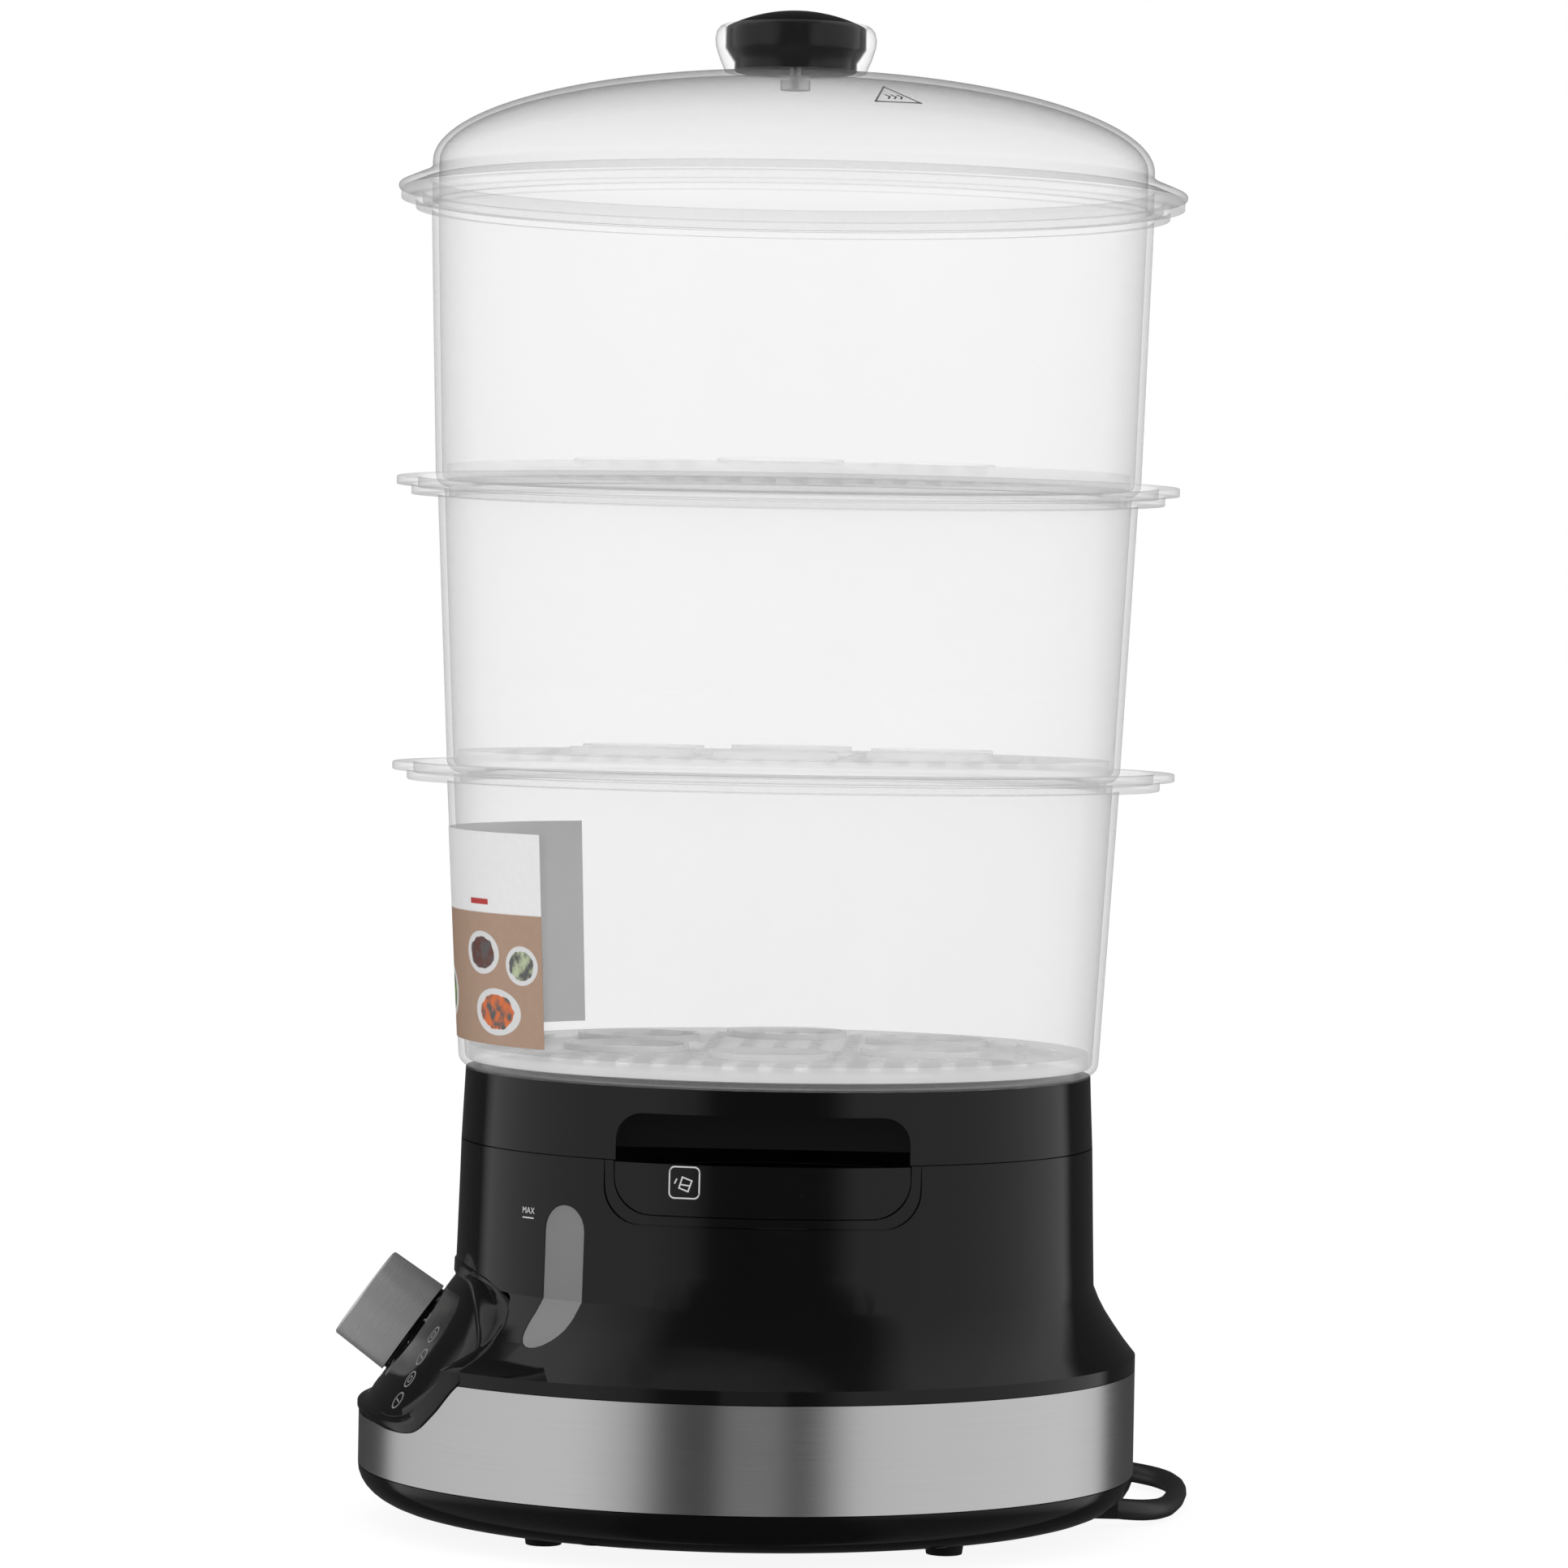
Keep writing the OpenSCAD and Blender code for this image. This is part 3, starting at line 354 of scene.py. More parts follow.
def makeBandSteel():
    # brushed round the base: long in angle and fine in height
    nodes = finish("bandSteel")
    want = bandSteel
    x, y, z = nodes.split(nodes.place())
    angle = y.math("ARCTAN2", x)
    along, up = want["fine"]
    fine = nodes.noise(nodes.join(angle * along, z * up, 0.0), 1.0, 3, 0.6)
    along, up = want["broad"]
    broad = nodes.noise(nodes.join(angle * along, z * up, 3.0), 1.0, 2)
    cloud = nodes.noise(nodes.place(), want["cloud"], 3)
    tone = fine * want["fineTone"] + broad * want["broadTone"] + cloud * want["cloudTone"]
    dark, light = (grey(want["colour"] * share, 0.01) for share in want["contrast"])
    rough = fine * want["fineRough"] + cloud * want["cloudRough"]
    surface(
        nodes,
        Base_Color=nodes.mix(tone * want["gain"], dark, light),
        Metallic=1.0,
        Roughness=rough + (want["rough"] - want["added"]),
        Normal=bumped(nodes, fine, want["lift"], want["deep"]),
    )


# a silver coat on plastic: in part a metal and in part a plain colour
knobMetal = {
    "colour": 0.6, "contrast": (0.95, 1.04), "metal": 0.62, "rough": 0.28,
    "ring": 4200, "cloud": 60,  # how fine the turning and the clouds are, per metre
    "ringRough": 0.1, "cloudRough": 0.08, "added": 0.09,
    "lift": 0.04, "deep": 0.02 * mm,
}


def makeKnobMetal(tilt, centre):
    # turned finish: rings round the timer's own axis
    nodes = finish("knobMetal")
    want = knobMetal
    place = nodes.add(
        "Mapping", {"vector_type": "TEXTURE"},
        {"Vector": nodes.place(), "Location": centre, "Rotation": (tilt, 0, 0)},
    )
    x, y, z = nodes.split(place)
    radius = (x * x + y * y).math("SQRT")
    ring = want["ring"]
    fine = nodes.noise(nodes.join(radius * ring, z * ring, 0.0), 1.0, 3, 0.6)
    cloud = nodes.noise(place, want["cloud"], 2)
    dark, light = (grey(want["colour"] * share) for share in want["contrast"])
    rough = fine * want["ringRough"] + cloud * want["cloudRough"]
    surface(
        nodes,
        Base_Color=nodes.mix(fine, dark, light),
        Metallic=want["metal"],
        Roughness=rough + (want["rough"] - want["added"]),
        Normal=bumped(nodes, fine, want["lift"], want["deep"]),
    )


# clear plastics: film is the share of the view that one face covers with its own pale
# colour, edge the further share where the face is seen edge-on, fall how quickly that
# share drops away from the edge, and rim the level of a painted reflection there: the
# colour turns to this grey or dark tone where the face is seen edge-on, standing in for
# the dark surroundings that such an edge mirrors
clearFinishes = {
    "clearBowl": dict(colour=0.78, rim=0.72, film=0.12, edge=0.35, fall=3.0, rough=0.16),
    "clearFloor": dict(colour=0.97, rim=0.95, film=0.4, edge=0.2, fall=2.0, rough=0.22),
    "clearLid": dict(colour=0.72, rim=0.12, film=0.09, edge=0.5, fall=5.0, rough=0.08),
    "clearKnob": dict(colour=0.6, rim=0.2, film=0.006, edge=0.7, fall=5.0, rough=0.05),
    "windowGrey": dict(colour=0.17, rim=0.17, film=0.93, edge=0.05, fall=3.0, rough=0.25),
}
# what they share
clearLook = {
    "index": 1.49,
    "tones": (0.97, 1.03),  # darkest and lightest share of the colour
    # how quickly the painted reflection of the edge gives way to the colour
    "paintedReflectionFall": 5,
    "filmLeast": 0.85, "filmCloud": 0.3,  # share of the film that is even, and cloudy
    "passing": 0.9,  # share of the veil that light on its way to the food passes
    # how fine each pattern is
    "cloud": 22, "scuff": 300, "wave": 34,
    "scuffStretch": (1, 1, 4),
    # what each pattern adds to the roughness, and what they add on average
    "cloudRough": 0.05, "scuffRough": 0.04, "added": 0.045,
    "waveLift": 0.03, "waveDeep": 0.1 * mm,
}


def makeClearFinishes():
    look = clearLook
    for name, want in clearFinishes.items():
        nodes = finish(name)
        place = nodes.place()
        cloud = nodes.noise(place, look["cloud"], 3)
        scuff = nodes.noise(nodes.stretched(place, look["scuffStretch"]), look["scuff"], 3)
        dark, light = (grey(want["colour"] * share) for share in look["tones"])
        colour = nodes.mix(cloud, dark, light)
        facing = nodes.add("LayerWeight", None, {"Blend": 0.5}, out=1)
        # painted reflection: where the face is seen edge-on its colour turns to the rim
        # tone
        colour = nodes.mix(facing ** look["paintedReflectionFall"], colour, grey(want["rim"]))
        cover = facing ** want["fall"] * want["edge"]
        cover = cover + cloud * want["film"] * look["filmCloud"]
        cover = cover + want["film"] * look["filmLeast"]
        # light on its way to the food passes; only what is seen or mirrored is veiled
        shadow, diffuse = nodes.rays("Shadow", "Diffuse")
        veil = 1 - shadow.math("MAXIMUM", diffuse) * look["passing"]
        rough = cloud * look["cloudRough"] + scuff * look["scuffRough"]
        wave = nodes.noise(place, look["wave"], 2)
        surface(
            nodes,
            Base_Color=colour,
            Roughness=rough + (want["rough"] - look["added"]),
            IOR=look["index"],
            Alpha=cover.math("MINIMUM", 1.0) * veil,
            Normal=bumped(nodes, wave, look["waveLift"], look["waveDeep"]),
        )


label = {
    "middle": -90.2,  # direction of its middle, in degrees from +X
    "wide": 96.5,  # degrees round the bowl
    "low": 149,
    "high": 213,
    "split": 0.62,  # share of the height that has the warm tone
    "radius": 101,
    "gap": 0.12,  # between the card and the bowl
    "thick": 0.15,
    "rows": 12,
    "columns": 48,
    # the red bar: its low and high edge as shares of the height, its ends in radians
    "bar": (0.655, 0.687, -1.13, -1.0),
    "soft": 0.005,  # how far an edge of the print blurs
    "white": (0.7, 0.77),
    "warm": ((0.33, 0.21, 0.145, 1), (0.39, 0.26, 0.185, 1)),
    "red": (0.42, 0.02, 0.02, 1),
    "rough": 0.38, "fibreRough": 0.1, "lift": 0.12, "deep": 0.03 * mm,
    "fibre": 420, "lumps": 260,  # how fine the paper and the food are
    "plate": 0.62,
    # where the plate and the food on it end, as shares of the way out
    "plateEdge": (0.96, 1.0),
    "foodEdge": (0.84, 0.88),
    "ragged": 0.25,  # how far the food's lumps move its edge
    "shade": 0.08, "shaded": (0.35, 0.6),  # the tone between the lumps, and where it is
    # plates on the warm field: direction, height, half width, half height, what is on them
    "plates": [
        (-55.7, 159, 14, 7.2, (0.62, 0.13, 0.02, 1)),
        (-60.5, 176.5, 11.5, 6.6, (0.1, 0.03, 0.02, 1)),
        (-47.5, 173.5, 8, 6, (0.42, 0.47, 0.3, 1)),
        (-84, 163, 15, 8, (0.2, 0.34, 0.06, 1)),
        (-112, 170, 14, 8, (0.6, 0.42, 0.16, 1)),
    ],
}


def makeLabelPaper():
    # a plain generic label: white card above, plates on a warm field below, one red bar
    nodes = finish("labelPaper")
    place = nodes.place()
    x, y, z = nodes.split(place)
    level = (z - label["low"] * mm) / ((label["high"] - label["low"]) * mm)
    fibre = nodes.noise(place, label["fibre"], 4, 0.6)
    lumps = nodes.noise(place, label["lumps"], 2)
    warm = nodes.mix(fibre, *label["warm"])
    white = nodes.mix(fibre, *map(grey, label["white"]))
    angle = (y - stackAxis.y).math("ARCTAN2", x)
    for heading, height, wide, tall, food in label["plates"]:
        across = (angle - math.radians(heading)) * (label["radius"] / wide)
        up = (z - height * mm) / (tall * mm)
        far = (across * across + up * up).math("SQRT")
        warm = nodes.mix(1 - far.step(*label["plateEdge"]), warm, grey(label["plate"]))
        heap = 1 - (far + lumps * label["ragged"]).step(*label["foodEdge"])
        dish = nodes.mix(lumps.step(*label["shaded"]), grey(label["shade"]), food)
        warm = nodes.mix(heap, warm, dish)
    soft = label["soft"]
    above = level.step(label["split"] - 0.8 * soft, label["split"] + 0.8 * soft)
    field = nodes.mix(1 - above, white, warm)
    low, high, start, end = label["bar"]
    bar = level.step(low, low + soft) * (1 - level.step(high - soft, high))
    bar = bar * angle.step(start, start + soft) * (1 - angle.step(end - soft, end))
    surface(
        nodes,
        Base_Color=nodes.mix(bar, field, label["red"]),
        Roughness=fibre * label["fibreRough"] + label["rough"],
        Normal=bumped(nodes, fibre, label["lift"], label["deep"]),
    )


# the timer's axis leans back from level, and meets the panel's curved face at its centre
lean = math.radians(35.5)
timer = {
    "tilt": math.radians(90) - lean,
    "centre": (0, -119.5 + 23 * math.tan(lean), 57),
    "faceRadius": 150,
}

makePlainFinishes()
makeGlossBlack()
makeBandSteel()
makeKnobMetal(timer["tilt"], [v * mm for v in timer["centre"]])
makeClearFinishes()
makeLabelPaper()
print("finishes made:", len(finishes))


def dress(obj, finishName):
    obj.data.materials.clear()
    obj.data.materials.append(finishes[finishName])


def newPiece(name, bm, finishName, body, stands=(), sharp=32):
    mesh = bpy.data.meshes.new(name)
    bm.to_mesh(mesh)
    bm.free()
    for polygon in mesh.polygons:
        polygon.use_smooth = True
    mesh.set_sharp_from_angle(angle=math.radians(sharp))
    obj = bpy.data.objects.new(name, mesh)
    scene.collection.objects.link(obj)
    dress(obj, finishName)
    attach(obj, body)
    if stands:
        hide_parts(*stands)
    return obj


def arcPoints(centre, rx, rz, start, end, count):
    steps = [math.radians(start + (end - start) * i / count) for i in range(count + 1)]
    return [(centre[0] + rx * math.cos(a), centre[1] + rz * math.sin(a)) for a in steps]


weld = 0.002 * mm  # points nearer than this are one


def turned(profile, steps=160, soften=0.0, segments=2, closed=True, corner=25):
    # spins a profile of (radius, height) in mm about the upright axis
    bm = bmesh.new()
    verts = [bm.verts.new((r * mm, 0, z * mm)) for r, z in profile]
    for start, end in zip(verts, verts[1:]):
        bm.edges.new((start, end))
    if closed:
        bm.edges.new((verts[-1], verts[0]))
    bmesh.ops.spin(
        bm, geom=bm.verts[:] + bm.edges[:], cent=(0, 0, 0), axis=(0, 0, 1),
        dvec=(0, 0, 0), angle=2 * math.pi, steps=steps, use_merge=True,
    )
    bmesh.ops.remove_doubles(bm, verts=bm.verts, dist=weld)
    bmesh.ops.recalc_face_normals(bm, faces=bm.faces)
    if soften:
        softenEdges(bm, soften, segments, corner)
    return bm


def softenEdges(bm, width, segments, corner):
    sharp = [
        e for e in bm.edges
        if len(e.link_faces) == 2 and e.calc_face_angle() > math.radians(corner)
    ]
    bmesh.ops.bevel(
        bm, geom=sharp, offset=width * mm, offset_type="OFFSET", segments=segments,
        profile=0.5, affect="EDGES", material=-1, clamp_overlap=True,
    )


def joinInto(bm, other):
    mesh = bpy.data.meshes.new("part")
    other.to_mesh(mesh)
    other.free()
    bm.from_mesh(mesh)
    bpy.data.meshes.remove(mesh)


def placed(bm, turn, axis, vec):
    # turns a mesh about the origin, then moves it
    matrix = Matrix.Rotation(turn, 3, axis)
    bmesh.ops.rotate(bm, verts=bm.verts, cent=(0, 0, 0), matrix=matrix)
    bmesh.ops.translate(bm, verts=bm.verts, vec=vec)


def onStack(bm):
    bmesh.ops.translate(bm, verts=bm.verts, vec=stackAxis)
    return bm


# round sections of the base's body from the rim to the seam: height, centre behind the
# base's own axis, radius
bodySections = [
    (54, 0, 119.5), (58.2, 2.04, 114.12), (62.82, 4.04, 108.84), (67.02, 5.72, 104.41),
    (70.59, 6.88, 101.35), (73.11, 7.52, 99.67), (75.42, 8, 98.4), (117.8, 8, 97.2),
]


def bodySection(height):
    first = bodySections[0]
    if height <= first[0]:
        return first[1], first[2]
    for low, high in zip(bodySections, bodySections[1:]):
        if height <= high[0]:
            share = (height - low[0]) / (high[0] - low[0])
            return low[1] + (high[1] - low[1]) * share, low[2] + (high[2] - low[2]) * share
    return high[1], high[2]


# where the middle of a round surface can lie at a height
roundMiddles = (lambda z: 0, lambda z: stackAxis.y / mm, lambda z: bodySection(z)[0])
roundTest = {
    "flattest": 0.08,  # least level share of the normal of a facet that is turned
    "apart": 0.012,  # rad that the normal may leave the facet's own sector by
    "widest": 0.16,  # rad from a corner to the facet's middle
    "spread": 0.2,  # mm that the corners may lie off one cone
    "small": 0.3,  # a facet under this share of its largest neighbour follows it
}


def roundHeadings(polygon, verts):
    # directions of a facet's corners from the axis it is turned about, or nothing
    flat = math.hypot(polygon.normal.x, polygon.normal.y)
    if flat < roundTest["flattest"]:
        return None
    slope = polygon.normal.z / flat
    best, found = roundTest["spread"], None
    for middle in roundMiddles:
        headings, reach = [], []
        for index in polygon.vertices:
            x, y, z = verts[index].co / mm
            y -= middle(z)
            headings.append(math.atan2(y, x))
            reach.append((math.hypot(x, y), z))
        face = math.atan2(polygon.normal.y, polygon.normal.x)
        inward = math.cos(face - headings[0]) < 0
        if inward:
            face += math.pi
        turns = [math.remainder(face - heading, 2 * math.pi) for heading in headings]
        apart = max(min(turns), -max(turns))
        if apart > roundTest["apart"] or max(map(abs, turns)) > roundTest["widest"]:
            continue
        tilt = slope if inward else -slope
        rest = [r - tilt * z for r, z in reach]
        spread = max(rest) - min(rest)
        if spread < best:
            best, found = spread, [h + math.pi if inward else h for h in headings]
    return found


def roundNormals(mesh, limit):
    # every corner takes the normal of the round surface its facets stand for; small
    # facets, such as those of a broken edge, follow the large ones next to them
    around = [[] for vert in mesh.vertices]
    own = {}
    for polygon in mesh.polygons:
        headings = roundHeadings(polygon, mesh.vertices)
        flat = math.hypot(polygon.normal.x, polygon.normal.y)
        corners = [mesh.vertices[i].co for i in polygon.vertices]
        for k, index in enumerate(polygon.vertices):
            normal = polygon.normal.copy()
            if headings:
                normal.x = flat * math.cos(headings[k])
                normal.y = flat * math.sin(headings[k])
            before = corners[k - 1] - corners[k]
            after = corners[(k + 1) % len(corners)] - corners[k]
            opening = before.angle(after, 0)
            own[polygon.loop_indices[k]] = normal
            around[index].append((normal, opening, polygon.area))
    normals = []
    least = math.cos(math.radians(limit))
    for loop in mesh.loops:
        mine = own[loop.index]
        near = [one for one in around[loop.vertex_index] if one[0].dot(mine) > least]
        most = max(one[2] for one in near)
        total = Vector()
        for normal, opening, area in near:
            if area >= roundTest["small"] * most:
                total += normal * max(opening, 0.02)
        normals.append(total.normalized() if total.length > 0 else mine)
    mesh.normals_split_custom_set(normals)


refining = {
    "weld": 0.004,  # mm
    "flat": 0.3,  # degrees between facets that are taken as one
    "limit": (34, 50),  # degrees between facets shaded as one, sharp or with broken edges
}


def refined(node, name, finishName, body, width=0.0, segments=2, corner=34):
    # the CAD node's own shape with its edges broken and its round faces shaded as round
    bm = bmesh.new()
    bm.from_mesh(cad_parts[node].data)
    bmesh.ops.remove_doubles(bm, verts=bm.verts, dist=refining["weld"] * mm)
    bmesh.ops.dissolve_limit(
        bm, angle_limit=math.radians(refining["flat"]), verts=bm.verts, edges=bm.edges,
        use_dissolve_boundaries=False,
    )
    if width:
        softenEdges(bm, width, segments, corner)
    bmesh.ops.recalc_face_normals(bm, faces=bm.faces)
    obj = newPiece(name, bm, finishName, body, (node,))
    roundNormals(obj.data, refining["limit"][bool(width)])
    return obj


cord = {
    "exit": (0, 98, 8),
    "radius": 3.25,
    "lead": [
        (0, 98, 8), (0, 105, 7.4), (-2, 112, 6.4), (-7, 119, 5.2), (-15, 125, 4.2),
        (-26, 129.5, 3.6), (-39, 132, 3.5), (-53, 133.5, 3.5), (-67, 134, 3.5),
        (-80, 133, 3.6), (-92, 129.5, 3.8), (-102, 123, 4), (-110, 114, 4.2),
        (-116, 103, 4.4), (-120, 91, 4.5), (-122.4, 78, 4.6), (-123.4, 65, 4.6),
        (-123.5, 52, 4.6), (-123.5, 44, 4.6),
    ],
    "coilRadius": 43,
    "coilPitch": 7.1,
    "coilTurns": 4.125,
    "coilLayer": 2,  # turns in one layer
    "coilClimb": 0.5,  # turns over which it climbs to the second layer
    "coilSteps": 24,
    "between": 3, "round": 5,  # how finely the curve and its section are divided
    "tail": [
        (0, 0, 0), (-6, -6.6, -0.4), (-11, -14, -0.9), (-14, -22.5, -1.2),
        (-15, -32, -1.3), (-15, -38, -1.3),
    ],
}


def cordPoints():
    lead = [Vector(p) for p in cord["lead"]]
    start = lead[-1]
    middle = Vector((start.x - cord["coilRadius"], start.y - 2 * cord["radius"], start.z))
    coil = []
    layer, climbing = cord["coilLayer"], cord["coilClimb"]
    # in over one layer's turns, up by one pitch and out again over the first layer
    for i in range(int(cord["coilTurns"] * cord["coilSteps"]) + 1):
        turns = i / cord["coilSteps"]
        inward = turns if turns < layer else 2 * layer - turns
        radius = cord["coilRadius"] - cord["coilPitch"] * inward
        climb = max(0, min(1, (turns - layer) / climbing + 0.5)) * cord["coilPitch"]
        angle = -2 * math.pi * turns
        around = Vector((radius * math.cos(angle), radius * math.sin(angle), climb))
        coil.append(middle + around)
    last = -2 * math.pi * cord["coilTurns"]
    away = Vector((math.sin(last), -math.cos(last), 0))
    end = coil[-1] + 2 * cord["radius"] * away
    tail = [end + Vector(p) for p in cord["tail"]]
    return [p * mm for p in lead + coil + tail]


def makeCord():
    points = cordPoints()
    curve = bpy.data.curves.new("mainsCord", "CURVE")
    curve.dimensions = "3D"
    spline = curve.splines.new("BEZIER")
    spline.bezier_points.add(len(points) - 1)
    for knot, point in zip(spline.bezier_points, points):
        knot.co = point
        knot.handle_left_type = knot.handle_right_type = "AUTO"
    spline.resolution_u = cord["between"]
    curve.bevel_depth = cord["radius"] * mm
    curve.bevel_resolution = cord["round"]
    curve.use_fill_caps = True
    obj = bpy.data.objects.new("mainsCord", curve)
    scene.collection.objects.link(obj)
    dress(obj, "cordRubber")
    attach(obj, "base")
    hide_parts("power_cord", "cord_coil", "cord_tail")
    return obj, points


relief = {
    "start": 68,  # mm behind the base's axis
    "from": 0.2,
    "root": 5.6,
    "tip": cord["radius"] + 0.7,
    "ribs": 7,
    "groove": 0.75,
    "parts": (0, 0.68, 0.98),  # where a rib starts and ends and its groove ends
    "flank": 0.02,
    "leastWall": 0.15,
    "steps": 48, "soften": 0.18, "flangeSoften": 0.1,
    # the flange that the housing holds: radius, distance
    "flange": [
        (cord["radius"], -4.4), (6.0, -4.4), (6.0, -2.5), (4.9, -2.5), (4.9, 0.4),
        (cord["radius"], 0.4),
    ],
}


def makeRelief():
    # ribbed strain relief: rings and grooves on a taper
    low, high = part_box("cord_gland")
    start, ribs, groove = relief["from"], relief["ribs"], relief["groove"]
    length = high.y / mm - relief["start"]
    root, tip = relief["root"], relief["tip"]
    profile = [(cord["radius"], start)]
    for i in range(ribs):
        a, b, c = ((i + part) / ribs for part in relief["parts"])
        for share, sink in ((a, 0), (b, 0), (b + relief["flank"], groove), (c, groove)):
            radius = root + (tip - root) * share - (sink if i < ribs - 1 else 0)
            least = cord["radius"] + relief["leastWall"]
            profile.append((max(radius, least), start + share * (length - start)))
    profile.append((cord["radius"], length))
    bm = turned(profile, relief["steps"], relief["soften"], 2)
    joinInto(bm, turned(relief["flange"], relief["steps"], relief["flangeSoften"], 1))
    placed(bm, -math.pi / 2, "X", (0, relief["start"] * mm, cord["exit"][2] * mm))
    bmesh.ops.recalc_face_normals(bm, faces=bm.faces)
    return newPiece("strainRelief", bm, "feetRubber", "base", ("cord_gland",))


# the plug's sections: distance from the cord's end, half width, half height
plugSections = [
    (0, 4.1, 4.1), (3, 4.5, 4.5), (8, 5.2, 5.2), (14, 6.4, 6.2), (18, 9.5, 7.6),
    (21, 13.5, 8.8), (26, 16.6, 9.3), (38, 17.4, 9.35), (48, 17.6, 9.35), (51, 17.4, 9.2),
    (52, 16.4, 8.4),
]


def makePlug(points):
    # a moulded plug: its neck swells into a flat body
    sections = plugSections
    bm = bmesh.new()
    ring = bmesh.ops.create_circle(bm, cap_ends=False, segments=40, radius=1.0)["verts"]
    first = edges = list({e for v in ring for e in v.link_edges})
    bmesh.ops.scale(bm, vec=(sections[0][1] * mm, sections[0][2] * mm, 1), verts=ring)
    for before, after in zip(sections, sections[1:]):
        grown = bmesh.ops.extrude_edge_only(bm, edges=edges)["geom"]
        ring = [g for g in grown if isinstance(g, bmesh.types.BMVert)]
        edges = [g for g in grown if isinstance(g, bmesh.types.BMEdge)
                 and all(v in ring for v in g.verts)]
        bmesh.ops.scale(bm, vec=(after[1] / before[1], after[2] / before[2], 1), verts=ring)
        bmesh.ops.translate(bm, vec=(0, 0, (after[0] - before[0]) * mm), verts=ring)
    bmesh.ops.contextual_create(bm, geom=edges)
    bmesh.ops.contextual_create(bm, geom=first)
    bmesh.ops.recalc_face_normals(bm, faces=bm.faces)
    placed(bm, math.pi / 2, "X", points[-1])
    return newPiece("plugBody", bm, "cordRubber", "base", ("plug_body",), 40)


cordPiece, cordLine = makeCord()
makeRelief()
plugPiece = makePlug(cordLine)
tiePiece = refined("cord_tie", "cordTie", "satinBlack", "base", 0.3)
print("cord laid")


housing = refined("base_housing", "housing", "glossBlack", "base", 0.35)
refined("bottom_cover", "bottomCover", "glossBlack", "base", 0.3)
refined("steel_band", "steelBand", "bandSteel", "base", 0.12)
lipRight = refined(
    "fill_lip_right", "fillLipRight", "glossBlack", "base", 0.3
)
refined("fill_lip_left", "fillLipLeft", "glossBlack", "base", 0.3)
refined("level_window", "levelWindow", "windowGrey", "base", 0.25)
refined("rubber_feet", "feet", "feetRubber", "base", 0.3)
refined("drip_tray", "dripTray", "glossBlack", "tray", 0.35)
refined("timer_knob", "timerKnob", "knobMetal", "timer", 0.3, 3)


# the control panel seen from the front: half outlines, across and height in mm, of the
# face's own edge, of the line where the shoulder round it comes down to the body, and of
# the panel's limit on the body
panel = {
    "edge": [
        (0, 75.2), (16, 75.6), (31, 76), (40, 75.9), (47.5, 74.6), (54, 72.4), (59.8, 70),
        (64, 67.8), (69.4, 64.6), (73.6, 61), (76.4, 57), (77, 51.6), (74.6, 46.6),
        (69.8, 41.4), (65, 37.8), (57, 36.3), (44, 36.6), (28.3, 37.2), (0, 37.6),
    ],
    "level": [
        (0, 76.6), (16, 77), (31, 77.6), (40.6, 77.8), (49.2, 77), (56.4, 75), (62.5, 72.6),
        (66.9, 70.4), (72.5, 66.7), (77.6, 62.6), (80.6, 57.9), (82.6, 52), (78, 46.2),
        (71.8, 40.3), (66.2, 36.2), (57.6, 35.2), (44.2, 35.4), (28.5, 35.9), (0, 36.3),
    ],
    "limit": [
        (0, 80.4), (16, 80.6), (31, 80.6), (42, 79.5), (50.5, 78), (57, 75.6), (63.2, 73.2),
        (67.6, 71), (73.3, 67.2), (78.7, 63), (83.8, 58.8), (88.6, 52.2), (85.6, 47.4),
        (79.4, 39.8), (71.5, 33.8), (60, 32.7), (45.2, 33.6), (28.8, 34.6), (0, 35),
    ],
    "between": 6,  # points of the smooth line to each point above
    "thick": 3.2,
    "hole": 6.0,
    "faceRings": 13,
    "faceShare": 0.965,  # the flat of the face, as a share of the way to its edge
    # the raised bead and the step round the face: share of the way, lift back or forth
    "bead": [(0.965, 0), (0.969, 0.16), (0.977, 0.16), (0.981, -0.12), (0.993, -0.2)],
    "shoulderRings": 7,
    "shoulderDeep": 1.5,  # mm of depth from which the shoulder is fully round
    "proud": (0.2, 0.45),  # how far edge and level line stand in front of face and body
    # from the level line to the limit: share of the way, height over the body
    "skirt": [(0.5, 0.45), (0.92, 0.45), (1.0, 0.25), (1.02, -1.2)],
    "inner": 0.7,  # share of the way from edge to level line where the back turns in
    "behind": 1.6,  # how deep it lies there
    "backShares": (0.94, 0.75, 0.5, 0.25, 0.0),
    # the timer's seat and a screw post: radius, distance along the timer's axis
    "seat": [(6.1, -1.8), (14.9, -1.8), (14.9, 0.65), (6.1, 0.65)],
    "post": [(1.7, -6.8), (3.4, -6.8), (3.4, -3.6), (1.7, -3.6)],
    "posts": 25,  # each post's distance from the middle
}


def throughPoints(points, between):
    # a smooth line through points that is mirrored to a closed loop
    whole = [Vector(p) for p in points]
    whole += [Vector((-p.x, p.y)) for p in reversed(whole[1:-1])]
    count = len(whole)
    line = []
    for i in range(count):
        a, b, c, d = (whole[(i + k) % count] for k in (-1, 0, 1, 2))
        for j in range(between):
            t = j / between
            line.append(
                (b * 2 + (c - a) * t + (a * 2 - b * 5 + c * 4 - d) * t * t
                 + (b * 3 - a - c * 3 + d) * t ** 3) / 2
            )
    return line


def faceFront(x, z):
    # how far forward the panel's curved face lies
    depth = math.sqrt(timer["faceRadius"] ** 2 - x * x) - timer["faceRadius"]
    sine, cosine = math.sin(timer["tilt"]), math.cos(timer["tilt"])
    up = (z - timer["centre"][2] - depth * cosine) / sine
    return timer["centre"][1] + up * cosine - depth * sine


def bodyFront(x, z):
    middle, radius = bodySection(z)
    return middle - math.sqrt(radius ** 2 - x * x)


